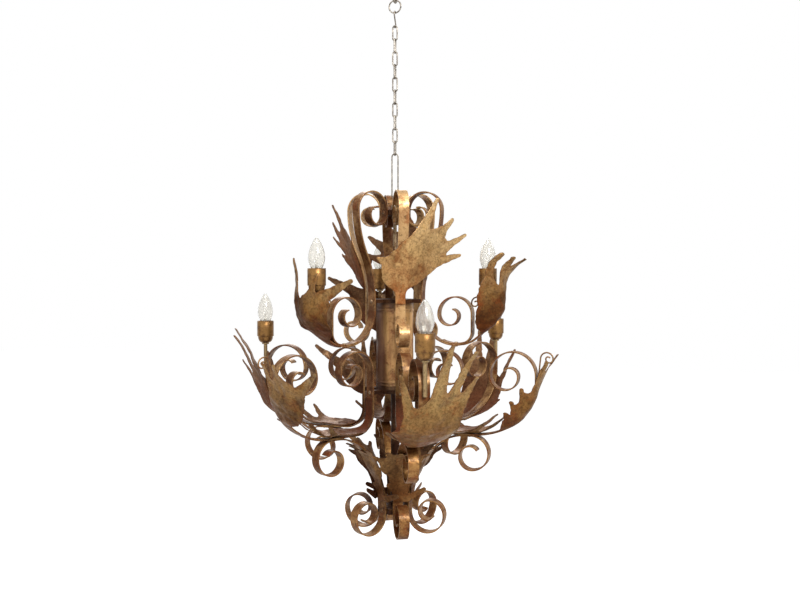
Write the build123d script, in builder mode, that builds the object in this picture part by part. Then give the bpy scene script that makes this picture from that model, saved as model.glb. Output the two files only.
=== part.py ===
"""Baroque chandelier with six candle lamps, hung from a ceiling hook by a chain.

Flat iron straps, bent into scrolls, stand in upright planes round one threaded rod.
Hexagonal collars and plates on the rod carry the straps, and pronged sheet leaves lie on
the straps. The origin is where the hook's shank enters the ceiling, with Z up.
Courses of bends are lists of (radius, turn) in millimetres and degrees, where a turn to
the left is positive and a radius of STRAIGHT gives a straight run of that length.
"""
from build123d import *
import os
from math import asin, cos, degrees, radians, sin, tan

os.makedirs("parts", exist_ok=True)

STRAIGHT = 0
RIGHTWARD, UPWARD, LEFTWARD, DOWNWARD = 0, 90, 180, 270

# Directions of the six upright planes, in degrees round the rod
plane_count = 6
plane_step = 360 / plane_count
candle_azimuths = [0, 120, 240]
plain_azimuths = [60, 180, 300]
all_azimuths = [plane_step * number for number in range(plane_count)]

# Stock and clearances
strap_width = 22.0
strap_thickness = 3.0
leaf_thickness = 2.0
leaf_clearance = 0.3
hanging_clearance = 0.3
hole_clearance = 0.1

# Ceiling hook
shank_radius = 3.0
shank_length = 25.0
hook_flange_radius = 7.0
hook_flange_thickness = 2.0
hook_wire_radius = 2.5
hook_neck = 4.0
hook_bend_radius = 9.0
hook_entry_turn = 60
hook_wrap_turn = 235

# Ring, S hook, chain and hanging loop
chain_wire_radius = 1.5
ring_radius = 13.5
s_hook_radius = 5.0
s_hook_half_spread = 12.4
s_hook_end_turn = 75
link_count = 10
link_end_radius = 5.0
link_length = 30.9
loop_end_radius = 7.0
loop_length = 97.0

# Eye nut and threaded rod
eye_wire_radius = 2.0
eye_radius = 9.0
eye_collar_radius = 8.0
eye_collar_height = 12.5
rod_radius = 4.0
rod_end_length = 12.0
nut_across_flats = 13.0
nut_height = 6.5

# Crown
shoulder_radius = 107.0
crown_arch_radius = 38.0
crown_flat = 11.0
crown_curl = [(22, 180), (17, 110)]

# Waist, upper arms and plain crown straps
leg_bend_radius = 219.0
leg_bend_turn = 25.5
waist_flat = 26.0
upper_arm_radius = 75.0
upper_arm_end = 24.0
plain_tail = 50.0
plain_curl = [(26, 180), (21, 90), (15, 90)]

# Loose scrolls inside the upper arms
scroll_start_heading = -25
scroll_seat_turn = 40
scroll_rise = 37.0
scroll_corner_radius = 24.0
scroll_curl = [(37, 180), (24, 90), (20, 90), (15, 80)]

# Column
column_radius = 41.0
column_wall = 1.5
column_height = 188.0
plate_thickness = 8.0
plate_inset = 4.0
plate_rim = 1.0
spoke_width = 16.0
spacer_radius = 9.0
spacer_wall = 1.5
terminal_length = 30.0
terminal_width = 16.0
terminal_height = 14.0
terminal_offset = 20.0

# Lower arms
lower_leg_radius = 69.0
lower_corner_radius = 44.0
lower_leg_flat = 90.0
lower_leg_above_plate = 43.5
lower_bottom_flat = 69.0
lower_sweep = [(150, 30), (112, 60)]
lower_stem_flat = 12.0
lower_inner_curl = [(42.5, -180), (29.5, -90), (26, -90), (18.5, -90), (13, -60)]
lower_outer_curl = [(49, 180), (32, 90), (28.5, 90), (18.5, 90), (13, 60)]

# Base straps
base_waist_radius = 35.0
base_waist_flat = 12.0
base_flare = [(190, -47), (100, -43)]
base_top_flat = 12.0
base_top_curl = [(37, -180), (27, -90), (24, -90), (17.5, -60)]
base_foot_curl = [(39.5, 180), (31, 90), (25, 90), (18.5, 90), (13, 60)]

# Screws and rivets
screw_radius = 2.0
screw_depth = 10.0
rivet_radius = 2.5
head_overhang = 2.0
head_height = 2.0
head_taper = 35
head_lift = 0.2
screw_bore_reach = 3.0
rivet_bore_reach = 9.0

# Candle lamps
stem_radius = 4.25
stem_bore_radius = 3.0
stem_flange_radius = 8.0
stem_flange_thickness = 3.0
stem_grip_below = 3.0
cup_radius = 19.0
cup_wall = 1.4
cup_height = 50.5
cup_round_height = 14.0
cup_floor_radius = 9.0
upper_cup_rise = 14.0
lower_cup_rise = 53.0
holder_radius = 14.0
holder_height = 36.0
holder_seat = 6.0
cap_radius = 6.9
cap_length = 20.0
cap_clearance = 0.4
bulb_neck_radius = 9.0
bulb_radius = 17.5
bulb_length = 72.0
bulb_belly_height = 28.0
bulb_flank_radius = 15.0
bulb_flank_height = 11.2
bulb_shoulder_radius = 12.6
bulb_shoulder_height = 53.5
bulb_tip_radius = 3.5
bulb_tip_height = 2.1
bulb_wall = 0.8

# Leaves: the creases beside the stalk, and the round tips of the prongs
leaf_crease = 12.0
prong_tip_radius = 3.0

# Each leaf's wings as (angle, half width), its palm as (place, side, half length, half width,
# lean), and its prongs as (place, side, angle, reach, half width at the root). Places run up
# the leaf from its foot, and sides and leans are positive towards falling azimuths.
upper_leaf_heading = 12
upper_leaf_leave = 38
upper_leaf_lift = [(STRAIGHT, 45), (80, 50), (60, -45), (STRAIGHT, 40)]
upper_leaf_wings = (14, 105.0)
upper_leaf_palm = (92, -6, 60, 48, -10)
upper_leaf_prongs = [
    (70, 20, 52, 56, 16),
    (105, 22, 12, 112, 15),
    (110, 0, -9, 116, 21),
    (105, -16, -32, 112, 20),
    (90, -22, -60, 84, 20),
]

crown_leaf_drop = 14.0
crown_leaf_lift = [(140, -22), (STRAIGHT, 95)]
crown_leaf_wings = (10, 150.0)
crown_leaf_palm = (90, -18, 70, 56, -30)
crown_leaf_prongs = [
    (90, 6, 48, 62, 20),
    (130, -8, -24, 132, 20),
    (118, -36, -33, 112, 22),
    (108, -50, -52, 96, 20),
    (92, -52, -72, 72, 18),
]

lower_leaf_heading = 8
lower_leaf_leave = 62
lower_leaf_lift = [(STRAIGHT, 125), (200, -12)]
lower_leaf_wings = (12, 145.0)
lower_leaf_palm = (92, -18, 72, 58, -25)
lower_leaf_prongs = [
    (42, 6, 52, 60, 15),
    (100, 20, 3, 106, 17),
    (116, -16, -17, 170, 26),
    (116, -38, -24, 148, 23),
    (108, -48, -43, 132, 21),
    (90, -46, -64, 84, 18),
]

inner_leaf_leg = 32.0
inner_leaf_flat = 64.0
inner_leaf_lift = [(100, 34), (STRAIGHT, 20)]
inner_leaf_wings = (16, 60.0)
inner_leaf_palm = (88, 0, 60, 38, 0)
inner_leaf_prongs = [
    (88, 0, -38, 86, 16),
    (88, 0, -12, 104, 15),
    (88, 0, 12, 104, 15),
    (88, 0, 38, 86, 16),
]

base_leaf_start = 5
base_leaf_turn = 34
base_leaf_lift = [(60, -30)]
broad_leaf_wings = (0, 62.0)
broad_leaf_palm = (92, 0, 36, 46, 0)
broad_leaf_prongs = [
    (16, 0, -46, 32, 6),
    (16, 0, 46, 32, 6),
    (80, 0, -56, 68, 17),
    (80, 0, -26, 62, 17),
    (80, 0, 4, 54, 16),
    (80, 0, 34, 62, 17),
    (80, 0, 60, 66, 17),
]
narrow_leaf_wings = (0, 34.0)
narrow_leaf_palm = (84, 0, 44, 25, 0)
narrow_leaf_prongs = [
    (16, 0, -46, 24, 6),
    (16, 0, 46, 24, 6),
    (84, 0, -32, 58, 11),
    (84, 0, 0, 58, 12),
    (84, 0, 32, 58, 11),
]

# Tendrils: thin wires with a coiled end, as courses from where they are welded on
tendril_radius = 1.6
tendril_weld_gap = 0.1
upper_tendril_angle = -42
upper_tendril_heading = 75
upper_tendril_course = [(STRAIGHT, 18), (60, 15), (STRAIGHT, 30), (13, 180), (7, 180), (4, 150)]
lower_tendril_heading = 84
lower_tendril_course = [(STRAIGHT, 50), (13, -180), (7.5, -180), (4.5, -150)]


def travel(start, heading, course):
    """Where a course of tangent runs and bends ends: its point and its heading."""
    x, y = start
    for radius, amount in course:
        if radius == STRAIGHT:
            x += amount * cos(radians(heading))
            y += amount * sin(radians(heading))
            continue
        side = 1 if amount > 0 else -1
        turned = heading + amount
        x += side * radius * (sin(radians(turned)) - sin(radians(heading)))
        y -= side * radius * (cos(radians(turned)) - cos(radians(heading)))
        heading = turned
    return (x, y), heading


def follow(start, heading, course):
    """Draw a course of tangent runs and bends in the open line."""
    for radius, amount in course:
        direction = (cos(radians(heading)), sin(radians(heading)))
        end, turned = travel(start, heading, [(radius, amount)])
        if radius == STRAIGHT:
            Line(start, end)
        else:
            JernArc(start, direction, radius, amount)
        start, heading = end, turned


def shifted(course, offset):
    """The same course moved sideways, to its right for a positive offset."""
    moved = []
    for radius, amount in course:
        if radius == STRAIGHT:
            moved.append((radius, amount))
        else:
            moved.append((radius + offset if amount > 0 else radius - offset, amount))
    return moved


def beside(point, heading, offset):
    """The point that lies to the right of a heading by the offset."""
    return point[0] + offset * sin(radians(heading)), point[1] - offset * cos(radians(heading))


def upright(azimuth):
    """The upright plane at an azimuth: its x runs outward and its y runs up."""
    turn = radians(azimuth)
    return Plane(origin=(0, 0, 0), x_dir=(cos(turn), sin(turn), 0), z_dir=(sin(turn), -cos(turn), 0))


def add_strap(azimuth, runs):
    """Add one strap, whose centre line is given as (start, heading, course) runs."""
    with BuildSketch(upright(azimuth)) as edge:
        with BuildLine():
            for start, heading, course in runs:
                follow(start, heading, course)
        trace(line_width=strap_thickness)
    extrude(edge.sketch, amount=strap_width / 2, both=True)


def drill(azimuth, point, heading, radius, depth):
    """Bore through at a point of an upright plane, along a heading."""
    plane = upright(azimuth)
    direction = plane.from_local_coords(Vector(cos(radians(heading)), sin(radians(heading)), 0))
    with BuildSketch(Plane(origin=plane.from_local_coords(Vector(*point, 0)), z_dir=direction)) as bore:
        Circle(radius)
    extrude(bore.sketch, amount=depth, both=True, mode=Mode.SUBTRACT)


def drill_for_screw(azimuth, radius, z):
    """Bore a strap for a screw at a radius and a height."""
    drill(azimuth, (radius, z), RIGHTWARD, screw_radius + hole_clearance, screw_bore_reach)


def drill_for_rivet(azimuth, point):
    """Bore whatever lies together at a rivet's point."""
    drill(azimuth, point, UPWARD, rivet_radius + hole_clearance, rivet_bore_reach)


def add_fastener(azimuth, point, heading, radius, inner, outer, heads):
    """Add one pin from inner to outer along a heading, with a round head at each given end."""
    plane = upright(azimuth)
    middle = plane.from_local_coords(Vector(*point, 0))
    direction = plane.from_local_coords(Vector(cos(radians(heading)), sin(radians(heading)), 0))
    with BuildSketch(Plane(origin=middle + direction * inner, z_dir=direction)) as pin:
        Circle(radius)
    extrude(pin.sketch, amount=outer - inner)
    for end, side in heads:
        with BuildSketch(Plane(origin=middle + direction * end, z_dir=direction * side)) as head:
            Circle(radius + head_overhang)
        extrude(head.sketch, amount=head_height, taper=head_taper)


def add_leaf(azimuth, start, heading, course, wings, palm, prongs):
    """Add one leaf: a creased sheet along a course, cut to a stalk, a palm and prongs."""
    wing_angle, half_width = wings
    palm_place, palm_side, palm_length, palm_width, lean = palm
    plane = upright(azimuth)
    with BuildLine(plane) as spine:
        follow(start, heading, course)
    wing_rise = (half_width - leaf_crease) * tan(radians(wing_angle))
    with BuildSketch(Plane(origin=spine.line @ 0, x_dir=plane.z_dir, z_dir=spine.line % 0)) as section:
        with BuildLine():
            Polyline(
                (-half_width, -wing_rise),
                (-leaf_crease, 0),
                (leaf_crease, 0),
                (half_width, -wing_rise),
            )
        trace(line_width=leaf_thickness)
    sweep(section.sketch, path=spine.line)
    chord = (spine.line @ 1) - (spine.line @ 0)
    with BuildSketch(Plane(origin=spine.line @ 0, x_dir=chord, z_dir=chord.cross(plane.z_dir))) as shape:
        with Locations((palm_place / 2, 0)):
            Rectangle(palm_place, strap_width)
        with Locations((palm_place, palm_side)):
            Ellipse(palm_length, palm_width, rotation=lean)
        for place, side, angle, reach, root in prongs:
            with Locations(Location((place, side, 0), (0, 0, angle))):
                Polygon(
                    (0, -root),
                    (reach, -prong_tip_radius),
                    (reach, prong_tip_radius),
                    (0, root),
                    align=None,
                )
                with Locations((reach, 0)):
                    Circle(prong_tip_radius)
    extrude(shape.sketch, amount=chord.length, both=True, mode=Mode.INTERSECT)


def keep(builder, name):
    """Label a finished piece and write it."""
    builder.part.label = name
    export_step(builder.part, f"parts/{name}.step")


# Heights down the chain: each wire hangs from the wire above it
hook_entry = (0, -hook_flange_thickness - hook_neck)
hook_bowl_depth = 2 * hook_bend_radius * sin(radians(hook_entry_turn))
hook_wire_z = hook_entry[1] - hook_bowl_depth - hook_bend_radius
ring_top_z = hook_wire_z + hook_wire_radius + hanging_clearance + chain_wire_radius
ring_centre_z = ring_top_z - ring_radius
ring_wire_z = ring_centre_z - ring_radius
wire_step = 2 * chain_wire_radius + hanging_clearance
s_hook_top_z = ring_wire_z + wire_step
s_hook_centre_z = s_hook_top_z - s_hook_radius - s_hook_half_spread
s_hook_wire_z = s_hook_centre_z - s_hook_half_spread - s_hook_radius
link_pitch = link_length - wire_step
loop_hinge_z = s_hook_wire_z - link_count * link_pitch
loop_top_z = loop_hinge_z + wire_step
loop_wire_z = loop_top_z - loop_length
eye_top_z = loop_wire_z + chain_wire_radius + hanging_clearance + eye_wire_radius
eye_centre_z = eye_top_z - eye_radius
eye_collar_top_z = eye_centre_z - eye_radius
crown_z = eye_collar_top_z - eye_collar_height

# Heights and radii of the body, from the crown down
crown_flat_radius = shoulder_radius - 2 * crown_arch_radius
leg_course = [(leg_bend_radius, -leg_bend_turn), (leg_bend_radius, leg_bend_turn)]
(waist_radius, waist_top_z), _ = travel((shoulder_radius, crown_z), DOWNWARD, leg_course)
upper_arm_z = waist_top_z - waist_flat
upper_end_radius = waist_radius + 2 * upper_arm_radius
upper_arm_bottom_z = upper_arm_z - upper_arm_radius
top_plate_z = waist_top_z - plate_inset
column_top_z = top_plate_z - plate_thickness
column_bottom_z = column_top_z - column_height
base_plate_bottom_z = column_bottom_z - plate_thickness
lower_leg_top_z = column_bottom_z + lower_leg_above_plate
lower_leg_bottom_z = lower_leg_top_z - lower_leg_flat
lower_bottom_z = lower_leg_bottom_z - lower_corner_radius
lower_bottom_start = lower_leg_radius + lower_corner_radius
lower_bottom_end = lower_bottom_start + lower_bottom_flat
(lower_stem_radius, lower_stem_z), _ = travel((lower_bottom_end, lower_bottom_z), RIGHTWARD, lower_sweep)
(flare_reach, flare_rise), _ = travel((0, 0), UPWARD, base_flare)
base_top_radius = base_waist_radius + flare_reach
base_waist_top_z = lower_bottom_z - strap_thickness - flare_rise
base_waist_bottom_z = base_waist_top_z - base_waist_flat
rod_bottom_z = base_waist_bottom_z - rod_end_length
strap_half = strap_thickness / 2
leaf_offset = strap_half + leaf_clearance + leaf_thickness / 2


# Ceiling hook: a flanged screw hook of round wire
with BuildPart() as ceiling_hook:
    with BuildSketch():
        Circle(shank_radius)
    extrude(amount=shank_length)
    with BuildSketch():
        Circle(hook_flange_radius)
    extrude(amount=-hook_flange_thickness)
    with BuildLine(Plane.YZ) as hook_line:
        follow(
            (0, -hook_flange_thickness),
            DOWNWARD,
            [
                (STRAIGHT, hook_neck),
                (hook_bend_radius, hook_entry_turn),
                (hook_bend_radius, -hook_wrap_turn),
            ],
        )
    with BuildSketch(Plane(origin=hook_line.line @ 0, z_dir=hook_line.line % 0)):
        Circle(hook_wire_radius)
    sweep(path=hook_line.line)
keep(ceiling_hook, "ceiling_hook")

# Ring on the hook
with BuildPart() as top_ring:
    with BuildSketch(Plane.YZ):
        with Locations((0, ring_centre_z - ring_radius)):
            Circle(chain_wire_radius)
    revolve(axis=Axis((0, 0, ring_centre_z), (0, 1, 0)))
keep(top_ring, "top_ring")

# S hook between the ring and the chain
s_hook_slant = degrees(asin(s_hook_radius / s_hook_half_spread))
s_hook_bow_turn = 90 + s_hook_end_turn + s_hook_slant
with BuildPart() as s_hook:
    with BuildLine(Plane.YZ) as s_line:
        upper_bow = CenterArc(
            (0, s_hook_centre_z + s_hook_half_spread),
            s_hook_radius,
            90 - s_hook_end_turn,
            s_hook_bow_turn,
        )
        lower_bow = CenterArc(
            (0, s_hook_centre_z - s_hook_half_spread),
            s_hook_radius,
            270 - s_hook_end_turn,
            s_hook_bow_turn,
        )
        Line(upper_bow @ 1, lower_bow @ 1)
    with BuildSketch(Plane(origin=upper_bow @ 0, z_dir=upper_bow % 0)):
        Circle(chain_wire_radius)
    sweep(path=s_line.line)
keep(s_hook, "s_hook")


def add_link(plane, top_z, length, end_radius):
    """Add one long round-ended link of wire, hanging from the height of its top wire."""
    straight = length - 2 * end_radius
    with BuildLine(plane) as link_line:
        follow(
            (end_radius, top_z - end_radius - straight / 2),
            UPWARD,
            [
                (STRAIGHT, straight / 2),
                (end_radius, 180),
                (STRAIGHT, straight),
                (end_radius, 180),
                (STRAIGHT, straight / 2),
            ],
        )
    with BuildSketch(Plane(origin=link_line.line @ 0, z_dir=link_line.line % 0)) as wire:
        Circle(chain_wire_radius)
    sweep(wire.sketch, path=link_line.line)


# Chain: every second link stands across the one before it
for number in range(1, link_count + 1):
    link_plane = Plane.XZ if number % 2 else Plane.YZ
    link_top_z = s_hook_wire_z + wire_step - link_pitch * (number - 1)
    with BuildPart() as chain_link:
        add_link(link_plane, link_top_z, link_length, link_end_radius)
    keep(chain_link, f"chain_link_{number:02d}")

# Long loop that joins the chain to the eye in the crown
with BuildPart() as hanging_loop:
    add_link(Plane.XZ, loop_top_z, loop_length, loop_end_radius)
keep(hanging_loop, "hanging_loop")

# Eye nut on top of the rod
with BuildPart() as eye_nut:
    with BuildSketch(Plane.XZ):
        with Locations((0, eye_centre_z - eye_radius)):
            Circle(eye_wire_radius)
    revolve(axis=Axis((0, 0, eye_centre_z), (1, 0, 0)))
    with BuildSketch(Plane.XY.offset(crown_z)):
        Circle(eye_collar_radius)
    extrude(amount=eye_collar_height)
    with BuildSketch(Plane.XY.offset(crown_z)):
        Circle(rod_radius + hole_clearance)
    extrude(amount=eye_collar_height - eye_wire_radius, mode=Mode.SUBTRACT)
keep(eye_nut, "eye_nut")

# Threaded rod: the backbone from the eye nut to below the base collar
rod_top_z = crown_z + eye_collar_height - eye_wire_radius - hole_clearance
with BuildPart() as threaded_rod:
    with BuildSketch(Plane.XY.offset(rod_bottom_z)):
        Circle(rod_radius)
    extrude(amount=rod_top_z - rod_bottom_z)
keep(threaded_rod, "threaded_rod")


def add_hex(top_z, height, flat_radius, bore_radius):
    """Add one hexagonal block round the rod, with a flat facing each upright plane."""
    with BuildSketch(Plane.XY.offset(top_z - height)) as hexagon:
        RegularPolygon(flat_radius, plane_count, major_radius=False, rotation=plane_step / 2)
        Circle(bore_radius, mode=Mode.SUBTRACT)
    extrude(hexagon.sketch, amount=height)


def add_spoked_plate(top_z, azimuths, reach):
    """Add one round plate on the rod, a little wider than the column, with spokes to the straps."""
    with BuildSketch(Plane.XY.offset(top_z - plate_thickness)) as plate:
        Circle(column_radius + plate_rim)
        with PolarLocations(reach / 2, len(azimuths), start_angle=azimuths[0]):
            Rectangle(reach, spoke_width)
        Circle(rod_radius + hole_clearance, mode=Mode.SUBTRACT)
    extrude(plate.sketch, amount=plate_thickness)


def tap_flats(azimuths, flat_radius, z):
    """Bore a blind screw hole into each of the given flats or spokes."""
    for azimuth in azimuths:
        drill(azimuth, (flat_radius, z), RIGHTWARD, screw_radius + hole_clearance, screw_depth)


# Crown collar: the tops of all six straps are screwed to its flats
crown_screw_z = crown_z - crown_flat / 2
with BuildPart() as crown_collar:
    add_hex(crown_z, crown_flat, crown_flat_radius - strap_half, rod_radius + hole_clearance)
    tap_flats(all_azimuths, crown_flat_radius - strap_half, crown_screw_z)
keep(crown_collar, "crown_collar")

# Plates above and below the column, whose spokes hold the upper and the lower arms off it
top_plate_screw_z = top_plate_z - plate_thickness / 2
with BuildPart() as column_top_plate:
    add_spoked_plate(top_plate_z, candle_azimuths, waist_radius - strap_half)
    tap_flats(candle_azimuths, waist_radius - strap_half, top_plate_screw_z)
keep(column_top_plate, "column_top_plate")

base_plate_screw_z = column_bottom_z - plate_thickness / 2
with BuildPart() as column_base_plate:
    add_spoked_plate(column_bottom_z, all_azimuths, lower_leg_radius - strap_half)
    tap_flats(all_azimuths, lower_leg_radius - strap_half, base_plate_screw_z)
keep(column_base_plate, "column_base_plate")

# Column: a sheet tube that hides the wiring
with BuildPart() as column_tube:
    with BuildSketch(Plane.XY.offset(column_bottom_z)):
        Circle(column_radius)
        Circle(column_radius - column_wall, mode=Mode.SUBTRACT)
    extrude(amount=column_height)
keep(column_tube, "column_tube")

# Terminal block inside the column, on the base plate
with BuildPart() as terminal_block:
    with BuildSketch(Plane.XY.offset(column_bottom_z)):
        with Locations((0, terminal_offset)):
            Rectangle(terminal_length, terminal_width)
    extrude(amount=terminal_height)
keep(terminal_block, "terminal_block")

# Spacer tube on the rod, from the base plate to the base collar
with BuildPart() as spacer_tube:
    with BuildSketch(Plane.XY.offset(base_waist_top_z)):
        Circle(spacer_radius)
        Circle(spacer_radius - spacer_wall, mode=Mode.SUBTRACT)
    extrude(amount=base_plate_bottom_z - base_waist_top_z)
keep(spacer_tube, "spacer_tube")

# Base collar: the waists of the base straps are screwed to its flats
base_screw_z = base_waist_top_z - base_waist_flat / 2
with BuildPart() as base_collar:
    add_hex(base_waist_top_z, base_waist_flat, base_waist_radius - strap_half, rod_radius + hole_clearance)
    tap_flats(all_azimuths, base_waist_radius - strap_half, base_screw_z)
keep(base_collar, "base_collar")

# Nuts under the crown collar, on the top plate and under the base collar
with BuildPart() as rod_nuts:
    for nut_top_z in (crown_z - crown_flat, top_plate_z + nut_height, base_waist_bottom_z):
        add_hex(nut_top_z, nut_height, nut_across_flats / 2, rod_radius + hole_clearance)
keep(rod_nuts, "rod_nuts")

# Upper straps: each arches over at the crown, curls in to the collar and runs down to the waist
crown_run = (
    (shoulder_radius, crown_z),
    UPWARD,
    [(crown_arch_radius, 180), (STRAIGHT, crown_flat)] + crown_curl,
)
upper_arm_course = leg_course + [
    (STRAIGHT, waist_flat),
    (upper_arm_radius, 180),
    (STRAIGHT, upper_arm_end),
]
plain_course = leg_course + [(STRAIGHT, waist_flat + plain_tail)] + plain_curl
scroll_radius = upper_arm_radius - strap_thickness
scroll_rivet_point = (waist_radius + upper_arm_radius, upper_arm_bottom_z)

# Upper arms: the three straps that turn out below the waist and carry candles
for number, azimuth in enumerate(candle_azimuths, 1):
    with BuildPart() as upper_arm:
        add_strap(azimuth, [crown_run, ((shoulder_radius, crown_z), DOWNWARD, upper_arm_course)])
        drill_for_screw(azimuth, crown_flat_radius, crown_screw_z)
        drill_for_screw(azimuth, waist_radius, top_plate_screw_z)
        drill_for_rivet(azimuth, scroll_rivet_point)
    keep(upper_arm, f"upper_arm_{number}")

# Crown straps: the three between them, which end in a small curl below the waist
with BuildPart() as crown_straps:
    for azimuth in plain_azimuths:
        add_strap(azimuth, [crown_run, ((shoulder_radius, crown_z), DOWNWARD, plain_course)])
        drill_for_screw(azimuth, crown_flat_radius, crown_screw_z)
keep(crown_straps, "crown_straps")

# Scrolls riveted inside the bowls of the upper arms
scroll_centre = (waist_radius + upper_arm_radius, upper_arm_z)
scroll_start = beside(scroll_centre, scroll_start_heading, scroll_radius)
scroll_course = [
    (scroll_radius, scroll_seat_turn),
    (scroll_corner_radius, UPWARD - scroll_start_heading - scroll_seat_turn),
    (STRAIGHT, scroll_rise),
] + scroll_curl
with BuildPart() as upper_scrolls:
    for azimuth in candle_azimuths:
        add_strap(azimuth, [(scroll_start, scroll_start_heading, scroll_course)])
        drill_for_rivet(azimuth, scroll_rivet_point)
keep(upper_scrolls, "upper_scrolls")

# Lower arms: six C scrolls, screwed to the base plate and riveted to the base straps
lower_inner_course = [
    (lower_corner_radius, -90),
    (STRAIGHT, lower_leg_flat),
] + lower_inner_curl
lower_outer_course = [(STRAIGHT, lower_bottom_flat)] + lower_sweep
lower_outer_course += [(STRAIGHT, lower_stem_flat)] + lower_outer_curl
base_rivet_radius = base_top_radius + base_top_flat / 2
base_rivet_point = (base_rivet_radius, lower_bottom_z)
for number, azimuth in enumerate(all_azimuths, 1):
    with BuildPart() as lower_arm:
        add_strap(
            azimuth,
            [
                ((lower_bottom_start, lower_bottom_z), LEFTWARD, lower_inner_course),
                ((lower_bottom_start, lower_bottom_z), RIGHTWARD, lower_outer_course),
            ],
        )
        drill_for_screw(azimuth, lower_leg_radius, base_plate_screw_z)
        drill_for_rivet(azimuth, base_rivet_point)
    keep(lower_arm, f"lower_arm_{number}")

# Base straps: six S scrolls from the foot through the waist to the undersides of the arms
base_upper_course = base_flare + [(STRAIGHT, base_top_flat)] + base_top_curl
base_lower_course = [(STRAIGHT, base_waist_flat)] + base_foot_curl
with BuildPart() as base_straps:
    for azimuth in all_azimuths:
        add_strap(
            azimuth,
            [
                ((base_waist_radius, base_waist_top_z), UPWARD, base_upper_course),
                ((base_waist_radius, base_waist_top_z), DOWNWARD, base_lower_course),
            ],
        )
        drill_for_screw(azimuth, base_waist_radius, base_screw_z)
        drill_for_rivet(azimuth, base_rivet_point)
keep(base_straps, "base_straps")

# Screws through the straps into the collars and plates
screw_reach = screw_depth - hole_clearance
with BuildPart() as strap_screws:
    for azimuths, radius, z in (
        (all_azimuths, crown_flat_radius, crown_screw_z),
        (candle_azimuths, waist_radius, top_plate_screw_z),
        (all_azimuths, lower_leg_radius, base_plate_screw_z),
        (all_azimuths, base_waist_radius, base_screw_z),
    ):
        for azimuth in azimuths:
            add_fastener(
                azimuth,
                (radius, z),
                RIGHTWARD,
                screw_radius,
                -strap_half - screw_reach,
                strap_half,
                [(strap_half, 1)],
            )
keep(strap_screws, "strap_screws")

# Rivets: inner leaf, lower arm and base strap together, and loose scroll and upper arm together
with BuildPart() as rivets:
    leaf_top = strap_half + leaf_clearance + leaf_thickness
    base_bottom = -strap_half - strap_thickness
    for azimuth in all_azimuths:
        add_fastener(
            azimuth,
            base_rivet_point,
            UPWARD,
            rivet_radius,
            base_bottom,
            leaf_top,
            [(leaf_top, 1), (base_bottom, -1)],
        )
    scroll_top = strap_half + strap_thickness + head_lift
    for azimuth in candle_azimuths:
        add_fastener(
            azimuth,
            scroll_rivet_point,
            UPWARD,
            rivet_radius,
            -strap_half,
            scroll_top,
            [(scroll_top, 1), (-strap_half, -1)],
        )
keep(rivets, "rivets")

# Leaves on the outside of the upper arms
upper_leaf_start = beside(scroll_centre, upper_leaf_heading, upper_arm_radius + leaf_offset)
upper_leaf_seat = [(upper_arm_radius + leaf_offset, upper_leaf_leave - upper_leaf_heading)]
upper_leaf_course = upper_leaf_seat + upper_leaf_lift
for number, azimuth in enumerate(candle_azimuths, 1):
    with BuildPart() as upper_leaf:
        add_leaf(
            azimuth,
            upper_leaf_start,
            upper_leaf_heading,
            upper_leaf_course,
            upper_leaf_wings,
            upper_leaf_palm,
            upper_leaf_prongs,
        )
    keep(upper_leaf, f"upper_leaf_{number}")

# Leaves on the outside of the crown straps
crown_leaf_start = (waist_radius + leaf_offset, waist_top_z - crown_leaf_drop)
crown_leaf_course = [
    (STRAIGHT, crown_leaf_drop),
    (leg_bend_radius - leaf_offset, -leg_bend_turn),
] + crown_leaf_lift
for number, azimuth in enumerate(plain_azimuths, 1):
    with BuildPart() as crown_leaf:
        add_leaf(
            azimuth,
            crown_leaf_start,
            UPWARD,
            crown_leaf_course,
            crown_leaf_wings,
            crown_leaf_palm,
            crown_leaf_prongs,
        )
    keep(crown_leaf, f"crown_leaf_{number}")

# Leaves on the outside of the lower arms, those of the candle arms and those of the plain arms
(sweep_start_radius, sweep_start_turn), (sweep_end_radius, _) = lower_sweep
lower_leaf_foot, _ = travel(
    (lower_bottom_end, lower_bottom_z),
    RIGHTWARD,
    [(sweep_start_radius, lower_leaf_heading)],
)
lower_leaf_start = beside(lower_leaf_foot, lower_leaf_heading, leaf_offset)
lower_leaf_seat = [
    (sweep_start_radius, sweep_start_turn - lower_leaf_heading),
    (sweep_end_radius, lower_leaf_leave - sweep_start_turn),
]
lower_leaf_course = shifted(lower_leaf_seat, leaf_offset) + lower_leaf_lift
for name, azimuths in (("lower_leaves_candle", plain_azimuths), ("lower_leaves_plain", candle_azimuths)):
    lower_leaf_set = []
    for azimuth in azimuths:
        with BuildPart() as lower_leaf:
            add_leaf(
                azimuth,
                lower_leaf_start,
                lower_leaf_heading,
                lower_leaf_course,
                lower_leaf_wings,
                    lower_leaf_palm,
                lower_leaf_prongs,
            )
        lower_leaf_set.append(lower_leaf.part)
    with BuildPart() as lower_leaves:
        add(lower_leaf_set)
    keep(lower_leaves, name)

# Leaves along the tops of the lower arms, held by the base rivets
inner_leaf_start = (lower_leg_radius + leaf_offset, lower_leg_bottom_z + inner_leaf_leg)
inner_leaf_course = [
    (STRAIGHT, inner_leaf_leg),
    (lower_corner_radius - leaf_offset, 90),
    (STRAIGHT, inner_leaf_flat),
] + inner_leaf_lift
inner_leaf_set = []
for azimuth in all_azimuths:
    with BuildPart() as inner_leaf:
        add_leaf(
            azimuth,
            inner_leaf_start,
            DOWNWARD,
            inner_leaf_course,
            inner_leaf_wings,
            inner_leaf_palm,
            inner_leaf_prongs,
        )
        drill_for_rivet(azimuth, base_rivet_point)
    inner_leaf_set.append(inner_leaf.part)
with BuildPart() as inner_leaves:
    add(inner_leaf_set)
keep(inner_leaves, "inner_leaves")

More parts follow.
